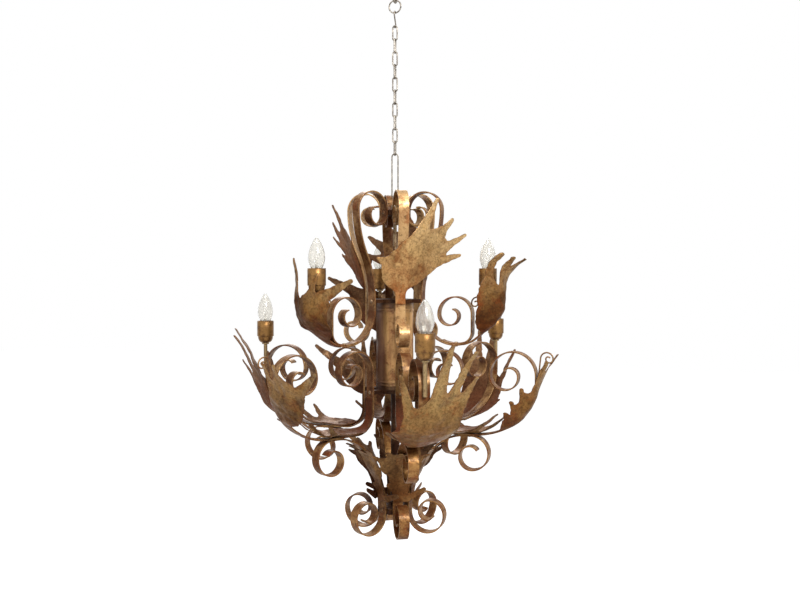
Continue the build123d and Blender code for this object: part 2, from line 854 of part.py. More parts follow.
# Leaves on the outside of the base straps, above the waist
base_leaf_heading = UPWARD - base_leaf_start
base_flare_radius = base_flare[0][0]
base_leaf_foot, _ = travel(
    (base_waist_radius, base_waist_top_z),
    UPWARD,
    [(base_flare_radius, -base_leaf_start)],
)
base_leaf_start_point = beside(base_leaf_foot, base_leaf_heading, leaf_offset)
base_leaf_course = [(base_flare_radius - leaf_offset, -base_leaf_turn)] + base_leaf_lift
base_leaf_set = []
for azimuths, wings, palm, prongs in (
    (plain_azimuths, broad_leaf_wings, broad_leaf_palm, broad_leaf_prongs),
    (candle_azimuths, narrow_leaf_wings, narrow_leaf_palm, narrow_leaf_prongs),
):
    for azimuth in azimuths:
        with BuildPart() as base_leaf:
            add_leaf(
                azimuth,
                base_leaf_start_point,
                base_leaf_heading,
                base_leaf_course,
                wings,
                palm,
                prongs,
            )
        base_leaf_set.append(base_leaf.part)
with BuildPart() as base_leaves:
    add(base_leaf_set)
keep(base_leaves, "base_leaves")


def add_tendril(azimuth, start, heading, course):
    """Add one wire along a course in an upright plane."""
    with BuildLine(upright(azimuth)) as tendril_line:
        follow(start, heading, course)
    with BuildSketch(Plane(origin=tendril_line.line @ 0, z_dir=tendril_line.line % 0)) as wire:
        Circle(tendril_radius)
    sweep(wire.sketch, path=tendril_line.line)


# Tendrils: inside the bowls of the upper arms, and outside the stems of the plain lower arms
tendril_offset = strap_half + tendril_weld_gap + tendril_radius
upper_tendril_turn = upper_arm_radius - tendril_offset
upper_tendril_start = (
    scroll_centre[0] + upper_tendril_turn * cos(radians(upper_tendril_angle)),
    scroll_centre[1] + upper_tendril_turn * sin(radians(upper_tendril_angle)),
)
lower_tendril_start = (lower_stem_radius + tendril_offset, lower_stem_z)
with BuildPart() as tendrils:
    for azimuth in candle_azimuths:
        add_tendril(azimuth, upper_tendril_start, upper_tendril_heading, upper_tendril_course)
        add_tendril(azimuth, lower_tendril_start, lower_tendril_heading, lower_tendril_course)
keep(tendrils, "tendrils")

# Candle lamps: their places round the rod, from the straps that carry them
upper_stem_radius = upper_end_radius - strap_half - stem_radius
lower_stem_place = lower_stem_radius + strap_half + stem_radius
upper_cup_z = upper_arm_z + upper_arm_end + upper_cup_rise
lower_cup_z = lower_stem_z + lower_stem_flat + lower_cup_rise
upper_foot_z = upper_arm_z + stem_grip_below
lower_foot_z = lower_stem_z - stem_grip_below
candles = [(azimuth, upper_stem_radius, upper_foot_z, upper_cup_z) for azimuth in candle_azimuths]
candles += [(azimuth, lower_stem_place, lower_foot_z, lower_cup_z) for azimuth in plain_azimuths]


def candle_axis(azimuth, radius):
    """Where a candle stands, seen from above."""
    return radius * cos(radians(azimuth)), radius * sin(radians(azimuth))


def profile_plane(x, y, z):
    """The upright plane of a turned piece's profile: x is its radius and y its height."""
    return Plane(origin=(x, y, z), x_dir=(1, 0, 0), z_dir=(0, -1, 0))


# Candle stems: tubes welded to the arms, with a flange under each cup
with BuildPart() as candle_stems:
    for azimuth, radius, foot_z, cup_z in candles:
        with BuildSketch(Plane.XY.offset(foot_z)):
            with Locations(candle_axis(azimuth, radius)):
                Circle(stem_radius)
        extrude(amount=cup_z + holder_seat - foot_z)
        with BuildSketch(Plane.XY.offset(cup_z)):
            with Locations(candle_axis(azimuth, radius)):
                Circle(stem_flange_radius)
        extrude(amount=-stem_flange_thickness)
        with BuildSketch(Plane.XY.offset(foot_z)):
            with Locations(candle_axis(azimuth, radius)):
                Circle(stem_bore_radius)
        extrude(amount=cup_z + holder_seat - foot_z, mode=Mode.SUBTRACT)
keep(candle_stems, "candle_stems")

# Candle cups: spun sheet, round at the foot
with BuildPart() as candle_cups:
    for azimuth, radius, foot_z, cup_z in candles:
        axis_x, axis_y = candle_axis(azimuth, radius)
        cup_bore = stem_radius + hole_clearance
        with BuildSketch(profile_plane(axis_x, axis_y, cup_z)):
            with BuildLine():
                Polyline((cup_bore, 0), (cup_floor_radius, 0))
                RadiusArc((cup_floor_radius, 0), (cup_radius, cup_round_height), -cup_round_height)
                Polyline(
                    (cup_radius, cup_round_height),
                    (cup_radius, cup_height),
                    (cup_radius - cup_wall, cup_height),
                    (cup_radius - cup_wall, cup_round_height),
                )
                RadiusArc(
                    (cup_radius - cup_wall, cup_round_height),
                    (cup_floor_radius, cup_wall),
                    cup_round_height - cup_wall,
                )
                Polyline((cup_floor_radius, cup_wall), (cup_bore, cup_wall), (cup_bore, 0))
            make_face()
        revolve(axis=Axis((axis_x, axis_y, 0), (0, 0, 1)))
keep(candle_cups, "candle_cups")

# Lampholders: moulded sleeves on the stems, inside the cups
cap_foot = holder_seat + holder_height - cap_length
with BuildPart() as lampholders:
    for azimuth, radius, foot_z, cup_z in candles:
        with BuildSketch(Plane.XY.offset(cup_z + holder_seat)):
            with Locations(candle_axis(azimuth, radius)):
                Circle(holder_radius)
        extrude(amount=holder_height)
        with BuildSketch(Plane.XY.offset(cup_z + cap_foot - hanging_clearance)):
            with Locations(candle_axis(azimuth, radius)):
                Circle(cap_radius + cap_clearance)
        extrude(amount=cap_length + hanging_clearance, mode=Mode.SUBTRACT)
keep(lampholders, "lampholders")


def draw_bulb(inset):
    """Draw half the bulb's profile from its neck to its tip, moved inward by the inset."""
    neck = (bulb_neck_radius - inset, inset)
    flank = (bulb_flank_radius - inset, bulb_flank_height)
    belly = (bulb_radius - inset, bulb_belly_height)
    shoulder = (bulb_shoulder_radius - inset, bulb_shoulder_height)
    tip_side = (bulb_tip_radius - inset, bulb_length - bulb_tip_height - inset)
    tip = (0, bulb_length - inset)
    ThreePointArc(neck, flank, belly)
    ThreePointArc(belly, shoulder, tip_side)
    Line(tip_side, tip)
    Line((0, inset), neck)


# Bulbs: a clear candle envelope on a screw cap
for number, (azimuth, radius, foot_z, cup_z) in enumerate(candles, 1):
    axis_x, axis_y = candle_axis(azimuth, radius)
    bulb_z = cup_z + holder_seat + holder_height
    with BuildPart() as bulb:
        with BuildSketch(profile_plane(axis_x, axis_y, bulb_z)):
            with BuildLine():
                draw_bulb(0)
                Line((0, bulb_length), (0, 0))
            make_face()
        revolve(axis=Axis((axis_x, axis_y, 0), (0, 0, 1)))
        with BuildSketch(profile_plane(axis_x, axis_y, bulb_z)):
            with BuildLine():
                draw_bulb(bulb_wall)
                Line((0, bulb_length - bulb_wall), (0, bulb_wall))
            make_face()
        revolve(axis=Axis((axis_x, axis_y, 0), (0, 0, 1)), mode=Mode.SUBTRACT)
        with BuildSketch(Plane.XY.offset(bulb_z - cap_length)):
            with Locations((axis_x, axis_y)):
                Circle(cap_radius)
        extrude(amount=cap_length)
    keep(bulb, f"bulb_{number}")
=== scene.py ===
import math
import random

import bpy
import numpy as np
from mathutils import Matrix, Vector


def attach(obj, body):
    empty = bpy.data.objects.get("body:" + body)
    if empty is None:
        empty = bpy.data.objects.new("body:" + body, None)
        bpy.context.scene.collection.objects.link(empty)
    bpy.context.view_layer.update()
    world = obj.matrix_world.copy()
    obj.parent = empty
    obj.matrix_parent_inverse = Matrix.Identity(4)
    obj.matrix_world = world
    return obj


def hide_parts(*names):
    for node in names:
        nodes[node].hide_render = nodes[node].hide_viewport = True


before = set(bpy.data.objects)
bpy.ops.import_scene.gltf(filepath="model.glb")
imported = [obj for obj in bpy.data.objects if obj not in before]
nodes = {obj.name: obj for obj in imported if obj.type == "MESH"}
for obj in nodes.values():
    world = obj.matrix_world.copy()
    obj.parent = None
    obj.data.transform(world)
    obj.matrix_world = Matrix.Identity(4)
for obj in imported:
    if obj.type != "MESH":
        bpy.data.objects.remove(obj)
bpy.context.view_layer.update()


# Hook, ring, S hook, chain and hanging loop: bent and butt-welded wire, dull zinc over steel.
# The hook screws into the ceiling, and every piece below hangs loose on the wire above it.
# The zinc has gone chalky in patches, with grey dirt held in its grain.
def tone(red, green, blue):
    """A colour written as screen values from 0 to 255, in the shader's own scale."""
    linear = []
    for value in (red, green, blue):
        share = value / 255
        linear.append(share / 12.92 if share < 0.04045 else ((share + 0.055) / 1.055) ** 2.4)
    return (*linear, 1.0)


def feed(tree, node, inputs):
    """Set a node's inputs, each to a value or to a link from another node."""
    for key, value in inputs.items():
        if isinstance(value, bpy.types.NodeSocket):
            tree.links.new(value, node.inputs[key])
        else:
            node.inputs[key].default_value = value


def place(tree, kind, inputs=None, **settings):
    """Put one node in a tree, with its settings and its inputs."""
    node = tree.nodes.new(kind)
    for key, value in settings.items():
        setattr(node, key, value)
    feed(tree, node, inputs or {})
    return node


def reckon(tree, operation, *values):
    """One sum in a tree, from values or from links."""
    return place(tree, "ShaderNodeMath", dict(enumerate(values)), operation=operation)


def ramp(tree, value, within=(0.0, 1.0), to=(0.0, 1.0)):
    """A value stretched from one range to another, and held at both ends."""
    limits = {"From Min": within[0], "From Max": within[1], "To Min": to[0], "To Max": to[1]}
    return place(tree, "ShaderNodeMapRange", {"Value": value, **limits})


def add_bump(tree, height, strength, depth, under=None):
    """The relief of a height over the surface, or over another normal where one is given."""
    bump = place(tree, "ShaderNodeBump", {"Height": height, "Strength": strength, "Distance": depth})
    if under is not None:
        feed(tree, bump, {"Normal": under})
    return bump


def mix_tones(tree, share, under, over):
    """A mix of two colours in a tree, with a share of the second laid over the first."""
    return place(tree, "ShaderNodeMix", {"Factor": share, "A": under, "B": over}, data_type="RGBA")


def new_effect(name, inputs, outputs):
    """An empty node group with named sockets, and its input and output nodes."""
    tree = bpy.data.node_groups.new(name, "ShaderNodeTree")
    for label, kind, value in inputs:
        socket = tree.interface.new_socket(label, in_out="INPUT", socket_type=kind)
        socket.default_value = value
    for label, kind in outputs:
        tree.interface.new_socket(label, in_out="OUTPUT", socket_type=kind)
    return tree, tree.nodes.new("NodeGroupInput"), tree.nodes.new("NodeGroupOutput")


def new_finish(name):
    """A material that holds one Principled shader, and that shader."""
    material = bpy.data.materials.new(name)
    material.use_nodes = True
    return material, material.node_tree, material.node_tree.nodes["Principled BSDF"]


def dress(names, material):
    """Give solids of the frame a finish."""
    for name in names:
        slots = nodes[name].data.materials
        slots.clear()
        slots.append(material)


cloud_effect, given, sent = new_effect(
    "patches",
    [("Size", "NodeSocketFloat", 30.0), ("Low", "NodeSocketFloat", 0.4), ("High", "NodeSocketFloat", 0.6)],
    [("Mask", "NodeSocketFloat"), ("Grain", "NodeSocketFloat")],
)
spot = place(cloud_effect, "ShaderNodeTexCoord").outputs["Object"]
coarse = place(
    cloud_effect,
    "ShaderNodeTexNoise",
    {"Vector": spot, "Scale": given.outputs["Size"], "Detail": 6.0, "Roughness": 0.62, "Distortion": 0.5},
)
finer = reckon(cloud_effect, "MULTIPLY", given.outputs["Size"], 9.0)
fine = place(
    cloud_effect,
    "ShaderNodeTexNoise",
    {"Vector": spot, "Scale": finer.outputs[0], "Detail": 4.0, "Roughness": 0.7},
)
both = reckon(cloud_effect, "MULTIPLY_ADD", fine.outputs["Fac"], 0.35, coarse.outputs["Fac"])
level = reckon(cloud_effect, "SUBTRACT", both.outputs[0], 0.175)
mask = place(
    cloud_effect,
    "ShaderNodeMapRange",
    {"Value": level.outputs[0], "From Min": given.outputs["Low"], "From Max": given.outputs["High"]},
    interpolation_type="SMOOTHSTEP",
)
feed(cloud_effect, sent, {"Mask": mask.outputs["Result"], "Grain": fine.outputs["Fac"]})


def add_patches(tree, size, low, high):
    """One placing of the patches effect."""
    return place(tree, "ShaderNodeGroup", {"Size": size, "Low": low, "High": high}, node_tree=cloud_effect)


zinc, tree, shader = new_finish("dull_zinc")
chalk = add_patches(tree, 60.0, 0.42, 0.62)
dirt = add_patches(tree, 170.0, 0.5, 0.68)
bare = mix_tones(tree, chalk.outputs["Mask"], tone(112, 104, 94), tone(172, 164, 152))
soiled = mix_tones(tree, dirt.outputs["Mask"], bare.outputs["Result"], tone(62, 52, 42))
gloss = ramp(tree, chalk.outputs["Mask"], to=(0.3, 0.5))
bump = add_bump(tree, dirt.outputs["Grain"], 0.2, 0.0006)
feed(
    tree,
    shader,
    {
        "Metallic": 0.75,
        "Base Color": soiled.outputs["Result"],
        "Roughness": gloss.outputs["Result"],
        "Normal": bump.outputs["Normal"],
    },
)
links = [name for name in nodes if name.startswith("chain_link")]
dress(["ceiling_hook", "top_ring", "s_hook", "hanging_loop"] + links, zinc)


# Eye nut, threaded rod and nuts: plain steel gone brown, the backbone that clamps the body.
# The rod's thread is cut, so its ridges run round it at a steady pitch.
rod_steel, tree, shader = new_finish("browned_steel")
# A wave texture of scale 1 goes through 20 radians in a metre.
thread_pitch, wave_pace = 0.00125, 20
rust = add_patches(tree, 90.0, 0.4, 0.62)
coat = mix_tones(tree, rust.outputs["Mask"], tone(176, 152, 118), tone(120, 88, 58))
ridges = place(
    tree,
    "ShaderNodeTexWave",
    {
        "Vector": place(tree, "ShaderNodeTexCoord").outputs["Object"],
        "Scale": math.tau / wave_pace / thread_pitch,
        "Distortion": 0.0,
    },
    bands_direction="Z",
)
bump = add_bump(tree, ridges.outputs["Fac"], 0.5, 0.0006)
roughness = ramp(tree, rust.outputs["Mask"], to=(0.38, 0.62))
feed(
    tree,
    shader,
    {
        "Metallic": 0.8,
        "Base Color": coat.outputs["Result"],
        "Roughness": roughness.outputs["Result"],
        "Normal": bump.outputs["Normal"],
    },
)
dress(["threaded_rod"], rod_steel)

nut_steel, tree, shader = new_finish("browned_nuts")
rust = add_patches(tree, 120.0, 0.38, 0.6)
coat = mix_tones(tree, rust.outputs["Mask"], tone(150, 132, 104), tone(92, 58, 32))
bump = add_bump(tree, rust.outputs["Grain"], 0.3, 0.0005)
feed(
    tree,
    shader,
    {
        "Metallic": 0.8,
        "Roughness": 0.45,
        "Base Color": coat.outputs["Result"],
        "Normal": bump.outputs["Normal"],
    },
)
dress(["eye_nut", "rod_nuts", "strap_screws", "rivets"], nut_steel)


# Straps: band iron rolled into scrolls, rusted on purpose, then rubbed with gold and waxed.
# Rust shows brown and orange through the gold, and the edges are rubbed bright.
# They are screwed to the collars and plates and riveted where two lie together.
patina_effect, given, sent = new_effect(
    "rubbed_gold",
    [
        ("Size", "NodeSocketFloat", 30.0),
        ("Gilding", "NodeSocketFloat", 0.5),
        ("Pitting", "NodeSocketFloat", 0.6),
        ("Gold", "NodeSocketColor", tone(190, 150, 95)),
        ("Brown", "NodeSocketColor", tone(120, 74, 38)),
        ("Rust", "NodeSocketColor", tone(150, 80, 35)),
        ("Dark", "NodeSocketColor", tone(62, 34, 18)),
    ],
    [
        ("Color", "NodeSocketColor"),
        ("Metal", "NodeSocketFloat"),
        ("Roughness", "NodeSocketFloat"),
        ("Height", "NodeSocketFloat"),
    ],
)
low = reckon(patina_effect, "SUBTRACT", 0.78, given.outputs["Gilding"])
high = reckon(patina_effect, "ADD", low.outputs[0], 0.3)
gold = add_patches(patina_effect, given.outputs["Size"], low.outputs[0], high.outputs[0])
rust_size = reckon(patina_effect, "MULTIPLY", given.outputs["Size"], 1.83)
rusty = add_patches(patina_effect, rust_size.outputs[0], 0.52, 0.7)
pit_size = reckon(patina_effect, "MULTIPLY", given.outputs["Size"], 5.3)
pits = add_patches(patina_effect, pit_size.outputs[0], 0.53, 0.68)
base = mix_tones(patina_effect, gold.outputs["Mask"], given.outputs["Brown"], given.outputs["Gold"])
rust_share = reckon(patina_effect, "MULTIPLY", rusty.outputs["Mask"], 0.7)
warmed = mix_tones(patina_effect, rust_share.outputs[0], base.outputs["Result"], given.outputs["Rust"])
pit_share = reckon(patina_effect, "MULTIPLY", pits.outputs["Mask"], given.outputs["Pitting"])
pitted = mix_tones(patina_effect, pit_share.outputs[0], warmed.outputs["Result"], given.outputs["Dark"])
gilt = gold.outputs["Mask"]
metal = ramp(patina_effect, gilt, to=(0.04, 0.55))
matt = ramp(patina_effect, gilt, to=(0.6, 0.33))
worn = reckon(patina_effect, "MULTIPLY_ADD", pits.outputs["Mask"], 0.12, matt.outputs["Result"])
relief = reckon(patina_effect, "MULTIPLY_ADD", pits.outputs["Grain"], 0.6, gold.outputs["Grain"])
feed(
    patina_effect,
    sent,
    {
        "Color": pitted.outputs["Result"],
        "Metal": metal.outputs["Result"],
        "Roughness": worn.outputs[0],
        "Height": relief.outputs[0],
    },
)

edge_effect, given, sent = new_effect(
    "rubbed_edges",
    [("Radius", "NodeSocketFloat", 0.001)],
    [("Mask", "NodeSocketFloat"), ("Normal", "NodeSocketVector")],
)
rounded = place(edge_effect, "ShaderNodeBevel", {"Radius": given.outputs["Radius"]}, samples=4)
facing = place(edge_effect, "ShaderNodeNewGeometry")
turn = place(
    edge_effect,
    "ShaderNodeVectorMath",
    {0: rounded.outputs["Normal"], 1: facing.outputs["Normal"]},
    operation="DOT_PRODUCT",
)
edge = ramp(edge_effect, turn.outputs["Value"], within=(0.995, 0.86))
feed(edge_effect, sent, {"Mask": edge.outputs["Result"], "Normal": rounded.outputs["Normal"]})


def rubbed_iron(name, size, gilding, gold, brown, rust, dark, edge):
    """A rusted iron finish rubbed with gold, brightest along its edges."""
    material, tree, shader = new_finish(name)
    patina = place(
        tree,
        "ShaderNodeGroup",
        {
            "Size": size,
            "Gilding": gilding,
            "Gold": gold,
            "Brown": brown,
            "Rust": rust,
            "Dark": dark,
        },
        node_tree=patina_effect,
    )
    edges = place(tree, "ShaderNodeGroup", {"Radius": 0.0009}, node_tree=edge_effect)
    patches = add_patches(tree, 45.0, 0.35, 0.6)
    rubbed = reckon(tree, "MULTIPLY", edges.outputs["Mask"], patches.outputs["Mask"])
    coat = mix_tones(tree, rubbed.outputs[0], patina.outputs["Color"], edge)
    bump = add_bump(tree, patina.outputs["Height"], 0.35, 0.0012, under=edges.outputs["Normal"])
    feed(
        tree,
        shader,
        {
            "Specular IOR Level": 0.08,
            "Coat Weight": 0.1,
            "Coat Roughness": 0.22,
            "Base Color": coat.outputs["Result"],
            "Metallic": patina.outputs["Metal"],
            "Roughness": patina.outputs["Roughness"],
            "Normal": bump.outputs["Normal"],
        },
    )
    return material


strap_iron = rubbed_iron(
    "strap_iron",
    size=19.0,
    gilding=0.4,
    gold=tone(158, 120, 76),
    brown=tone(98, 58, 30),
    rust=tone(124, 62, 26),
    dark=tone(40, 22, 12),
    edge=tone(214, 180, 130),
)
arms = [name for name in nodes if name.startswith(("upper_arm", "lower_arm"))]
dress(arms + ["upper_scrolls"], strap_iron)
base_iron = rubbed_iron(
    "base_strap_iron",
    size=21.0,
    gilding=0.42,
    gold=tone(164, 121, 70),
    brown=tone(106, 61, 30),
    rust=tone(130, 62, 25),
    dark=tone(38, 20, 10),
    edge=tone(188, 152, 106),
)
dress(["base_straps"], base_iron)
crown_iron = rubbed_iron(
    "crown_strap_iron",
    size=19.0,
    gilding=0.52,
    gold=tone(184, 147, 100),
    brown=tone(118, 76, 42),
    rust=tone(132, 72, 34),
    dark=tone(50, 29, 16),
    edge=tone(220, 190, 146),
)
dress(["crown_straps"], crown_iron)


# Collars, plates and spacer: turned and sawn steel on the rod, inside the ring of straps.
# They get a darker, browner copy of the strap finish: painted shade for their place inside the ring of
# straps.
shaded_hub_iron = rubbed_iron(
    "shaded_hub_iron",
    size=34.0,
    gilding=0.3,
    gold=tone(96, 64, 38),
    brown=tone(56, 32, 19),
    rust=tone(74, 36, 18),
    dark=tone(26, 15, 9),
    edge=tone(120, 88, 56),
)
dress(["crown_collar", "column_top_plate", "column_base_plate", "spacer_tube", "base_collar"], shaded_hub_iron)


# Column: a sheet tube with a lock seam down one side, held between the two plates.
# Two beads are rolled round it near each end, and its colour is darker in a band at each end.
# Runs of rust go down it, and the side with the seam is painted dark red-brown as painted shade.
column_bottom, column_height, column_radius = -869.752, 188.0, 41.0
column_wall, column_ease, end_round = 1.5, 0.6, 0.6
bead_heights = (9.0, 16.0, 172.0, 179.0)
bead_rise, bead_half = 1.1, 2.6
seam_turn, seam_half, seam_rise, seam_slope = 200.0, 5.0, 0.9, 0.4
# The direction of the side that gets the painted shade.
painted_shade_side = (math.cos(math.radians(seam_turn)), math.sin(math.radians(seam_turn)), 0)


def round_point(radius, turn, height):
    """A point from a radius and a height in millimetres and a turn in radians, in metres."""
    return (radius * math.cos(turn) * 0.001, radius * math.sin(turn) * 0.001, height * 0.001)


def ring_faces(rings, steps, closed):
    """Faces from each ring of points to the next, and from the last to the first if closed."""
    faces = []
    for ring in range(rings if closed else rings - 1):
        low, high = ring * steps, (ring + 1) % rings * steps
        for step in range(steps):
            after = (step + 1) % steps
            faces.append((low + step, low + after, high + after, high + step))
    return faces


def column_mesh():
    """The tube's outside and inside as one closed skin, with its beads and its seam."""
    heights = sorted(
        {0.0, end_round, column_height - end_round, column_height}
        | {float(level) for level in range(4, int(column_height), 8)}
        | {bead + bead_half * share / 4 for bead in bead_heights for share in range(-4, 5)}
    )
    seam_edges = (seam_half - seam_slope, seam_half + seam_slope)
    turns = sorted(
        {float(turn) for turn in range(0, 360, 5)}
        | {seam_turn + side * edge for edge in seam_edges for side in (-1, 1)}
    )
    points = []
    for wall in (0.0, column_wall):
        for height in heights if wall == 0 else reversed(heights):
            beads = [max(0.0, 1 - ((height - bead) / bead_half) ** 2) for bead in bead_heights]
            bulge = bead_rise * sum(beads)
            for turn in turns:
                lap = seam_rise if wall == 0 and abs(turn - seam_turn) < seam_half else 0.0
                radius = column_radius - column_ease - wall + bulge + lap
                points.append(round_point(radius, math.radians(turn), height))
    mesh = bpy.data.meshes.new("column_sheet")
    mesh.from_pydata(points, [], ring_faces(2 * len(heights), len(turns), closed=True))
    mesh.shade_smooth()
    return mesh


column_iron, tree, shader = new_finish("column_iron")
spot = place(tree, "ShaderNodeTexCoord").outputs["Object"]
patina = place(
    tree,
    "ShaderNodeGroup",
    {
        "Size": 15.0,
        "Gilding": 0.56,
        "Gold": tone(206, 160, 102),
        "Brown": tone(150, 90, 43),
        "Rust": tone(134, 66, 26),
        "Dark": tone(60, 32, 16),
    },
    node_tree=patina_effect,
)
drawn_out = place(tree, "ShaderNodeMapping", {"Vector": spot, "Scale": (60.0, 60.0, 7.0)})
runs = place(
    tree,
    "ShaderNodeTexNoise",
    {"Vector": drawn_out.outputs["Vector"], "Scale": 1.0, "Detail": 4.0},
)
run_share = ramp(tree, runs.outputs["Fac"], within=(0.5, 0.72), to=(0.0, 0.7))
streaked = mix_tones(tree, run_share.outputs["Result"], patina.outputs["Color"], tone(108, 54, 24))
# Painted shade: the side towards the seam's turn is mixed to dark red-brown, with a ragged edge from the
# rust runs.
towards = place(tree, "ShaderNodeVectorMath", {0: spot, 1: painted_shade_side}, operation="DOT_PRODUCT")
ragged = reckon(tree, "MULTIPLY_ADD", runs.outputs["Fac"], -0.03, towards.outputs["Value"])
painted_shade_share = ramp(tree, ragged.outputs[0], within=(-0.002, 0.014), to=(0.0, 0.88))
shaded = mix_tones(tree, painted_shade_share.outputs["Result"], streaked.outputs["Result"], tone(74, 35, 16))
height = place(tree, "ShaderNodeSeparateXYZ", {"Vector": spot}).outputs["Z"]
from_middle = reckon(tree, "SUBTRACT", height, column_height / 2 * 0.001)
from_middle = reckon(tree, "ABSOLUTE", from_middle.outputs[0])
waver = reckon(tree, "MULTIPLY_ADD", runs.outputs["Fac"], 0.016, from_middle.outputs[0])
end_share = ramp(tree, waver.outputs[0], within=(0.078, 0.099), to=(0.0, 0.82))
coat = mix_tones(tree, end_share.outputs["Result"], shaded.outputs["Result"], tone(58, 32, 18))
bump = add_bump(tree, patina.outputs["Height"], 0.35, 0.0012)
feed(
    tree,
    shader,
    {
        "Base Color": coat.outputs["Result"],
        "Metallic": patina.outputs["Metal"],
        "Roughness": patina.outputs["Roughness"],
        "Normal": bump.outputs["Normal"],
    },
)

column = bpy.data.objects.new("column_sheet", column_mesh())
bpy.context.collection.objects.link(column)
column.data.materials.append(column_iron)
column.location = (0, 0, column_bottom * 0.001)
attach(column, "chandelier")
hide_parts("column_tube")


# Terminal block: a pale moulded plastic block on the base plate, inside the column.
# The wires of the six lampholders would meet in it, so it is the last thing closed in.
block_plastic, tree, shader = new_finish("terminal_plastic")
cast = add_patches(tree, 200.0, 0.4, 0.6)
tint = mix_tones(tree, cast.outputs["Mask"], tone(226, 222, 210), tone(212, 206, 192))
feed(tree, shader, {"Roughness": 0.5, "Base Color": tint.outputs["Result"]})
dress(["terminal_block"], block_plastic)


# Upper leaves: sheet iron cut to a palm with long prongs, hammered hollow and bent at the tips.
# Each is spot-welded along its strap at the stalk, then stands free and leans round the column.
# The outside is rubbed with gold, palest at the tips, and the inside is left mauve-brown.
def leaf_iron(name, gilding, gold, brown, rust, dark, pale):
    """A hammered sheet finish: gold over rust, rusty at the foot and rim, pale at the tips."""
    material, tree, shader = new_finish(name)
    patina = place(
        tree,
        "ShaderNodeGroup",
        {
            "Size": 9.0,
            "Gilding": gilding,
            "Pitting": 0.3,
            "Gold": gold,
            "Brown": brown,
            "Rust": rust,
            "Dark": dark,
        },
        node_tree=patina_effect,
    )
    inset = place(tree, "ShaderNodeAttribute", attribute_name="inset").outputs["Fac"]
    reach = place(tree, "ShaderNodeAttribute", attribute_name="reach").outputs["Fac"]
    blotch = add_patches(tree, 36.0, 0.36, 0.6)
    rim = ramp(tree, inset, within=(0.0, 0.009), to=(0.5, 0.0))
    foot = ramp(tree, reach, within=(0.12, 0.52), to=(0.95, 0.0))
    rusted = reckon(tree, "MAXIMUM", rim.outputs["Result"], foot.outputs["Result"])
    uneven = ramp(tree, blotch.outputs["Mask"], to=(0.36, 1.0))
    rust_share = reckon(tree, "MULTIPLY", rusted.outputs[0], uneven.outputs["Result"])
    stained = mix_tones(tree, rust_share.outputs[0], patina.outputs["Color"], rust)
    tips = ramp(tree, reach, within=(0.5, 0.95), to=(0.0, 0.75))
    bare = add_patches(tree, 52.0, 0.34, 0.6)
    pale_share = reckon(tree, "MULTIPLY", tips.outputs["Result"], bare.outputs["Mask"])
    paled = mix_tones(tree, pale_share.outputs[0], stained.outputs["Result"], pale)
    speckle = add_patches(tree, 235.0, 0.44, 0.64)
    speck_share = reckon(tree, "MULTIPLY", speckle.outputs["Mask"], 0.46)
    coat = mix_tones(tree, speck_share.outputs[0], paled.outputs["Result"], dark)
    dents = place(
        tree,
        "ShaderNodeTexVoronoi",
        {"Vector": place(tree, "ShaderNodeTexCoord").outputs["Object"], "Scale": 75.0, "Smoothness": 1.0},
        feature="SMOOTH_F1",
    )
    hammered = add_bump(tree, dents.outputs["Distance"], 0.35, 0.004)
    bump = add_bump(tree, patina.outputs["Height"], 0.35, 0.0014, under=hammered.outputs["Normal"])
    feed(
        tree,
        shader,
        {
            "Specular IOR Level": 0.08,
            "Base Color": coat.outputs["Result"],
            "Metallic": patina.outputs["Metal"],
            "Roughness": patina.outputs["Roughness"],
            "Normal": bump.outputs["Normal"],
        },
    )
    return material


leaf_brown = leaf_iron(
    "leaf_brown",
    gilding=0.46,
    gold=tone(136, 98, 52),
    brown=tone(80, 49, 22),
    rust=tone(120, 56, 20),
    dark=tone(44, 25, 13),
    pale=tone(180, 146, 98),
)
leaf_mauve = leaf_iron(
    "leaf_mauve",
    gilding=0.4,
    gold=tone(134, 98, 68),
    brown=tone(94, 60, 40),
    rust=tone(108, 56, 32),
    dark=tone(38, 23, 15),
    pale=tone(158, 124, 90),
)
leaf_edge = rubbed_iron(
    "leaf_edge",
    size=60.0,
    gilding=0.3,
    gold=tone(150, 116, 74),
    brown=tone(84, 50, 28),
    rust=tone(106, 54, 26),
    dark=tone(46, 27, 16),
    edge=tone(186, 152, 106),
)
sheet, grid = 1.6, 2.4
crease, crease_round = 12.0, 8.0
tip, stalk_half = 4.4, 11.0
prong_sway, ridge_rise, ridge_room = 0.06, 2.2, 3
curl_from, curl_power = 0.35, 1.6
weld_length, weld_fade = 25, 50
notch_size, notch_depth = 15, 2.2
fray_size, fray_depth, trim = 10, 0.8, 0.4
hollow_depth, hollow_reach, hollow_limits = 5.0, 1.3, (-3, 6)
dent_sizes = ((46, 2.6), (19, 0.9))
wave_count, wave_stretch = 6, (0.8, 1.5)
corner_room = 0.04


def spine_points(start, heading, course):
    """Points and headings along tangent bends in degrees, or straight runs where the radius is 0."""
    x, z = start
    rows = [(x, z, math.radians(heading))]
    for radius, amount in course:
        length = amount if radius == 0 else radius * math.radians(abs(amount))
        count = max(2, round(length / grid))
        for _ in range(count):
            turned = 0 if radius == 0 else math.radians(amount) / count
            middle = rows[-1][2] + turned / 2
            x += math.cos(middle) * length / count
            z += math.sin(middle) * length / count
            rows.append((x, z, rows[-1][2] + turned))
    return np.array(rows)


def ripple(along, aside, size, chance):
    """A seeded, gentle wave over the sheet, with humps of about the given size."""
    total = np.zeros_like(along)
    for _ in range(wave_count):
        turn = chance.uniform(0, math.tau)
        pace = math.tau / (size * chance.uniform(*wave_stretch))
        crest = along * math.cos(turn) + aside * math.sin(turn)
        total += np.cos(crest * pace + chance.uniform(0, math.tau))
    return total / wave_count


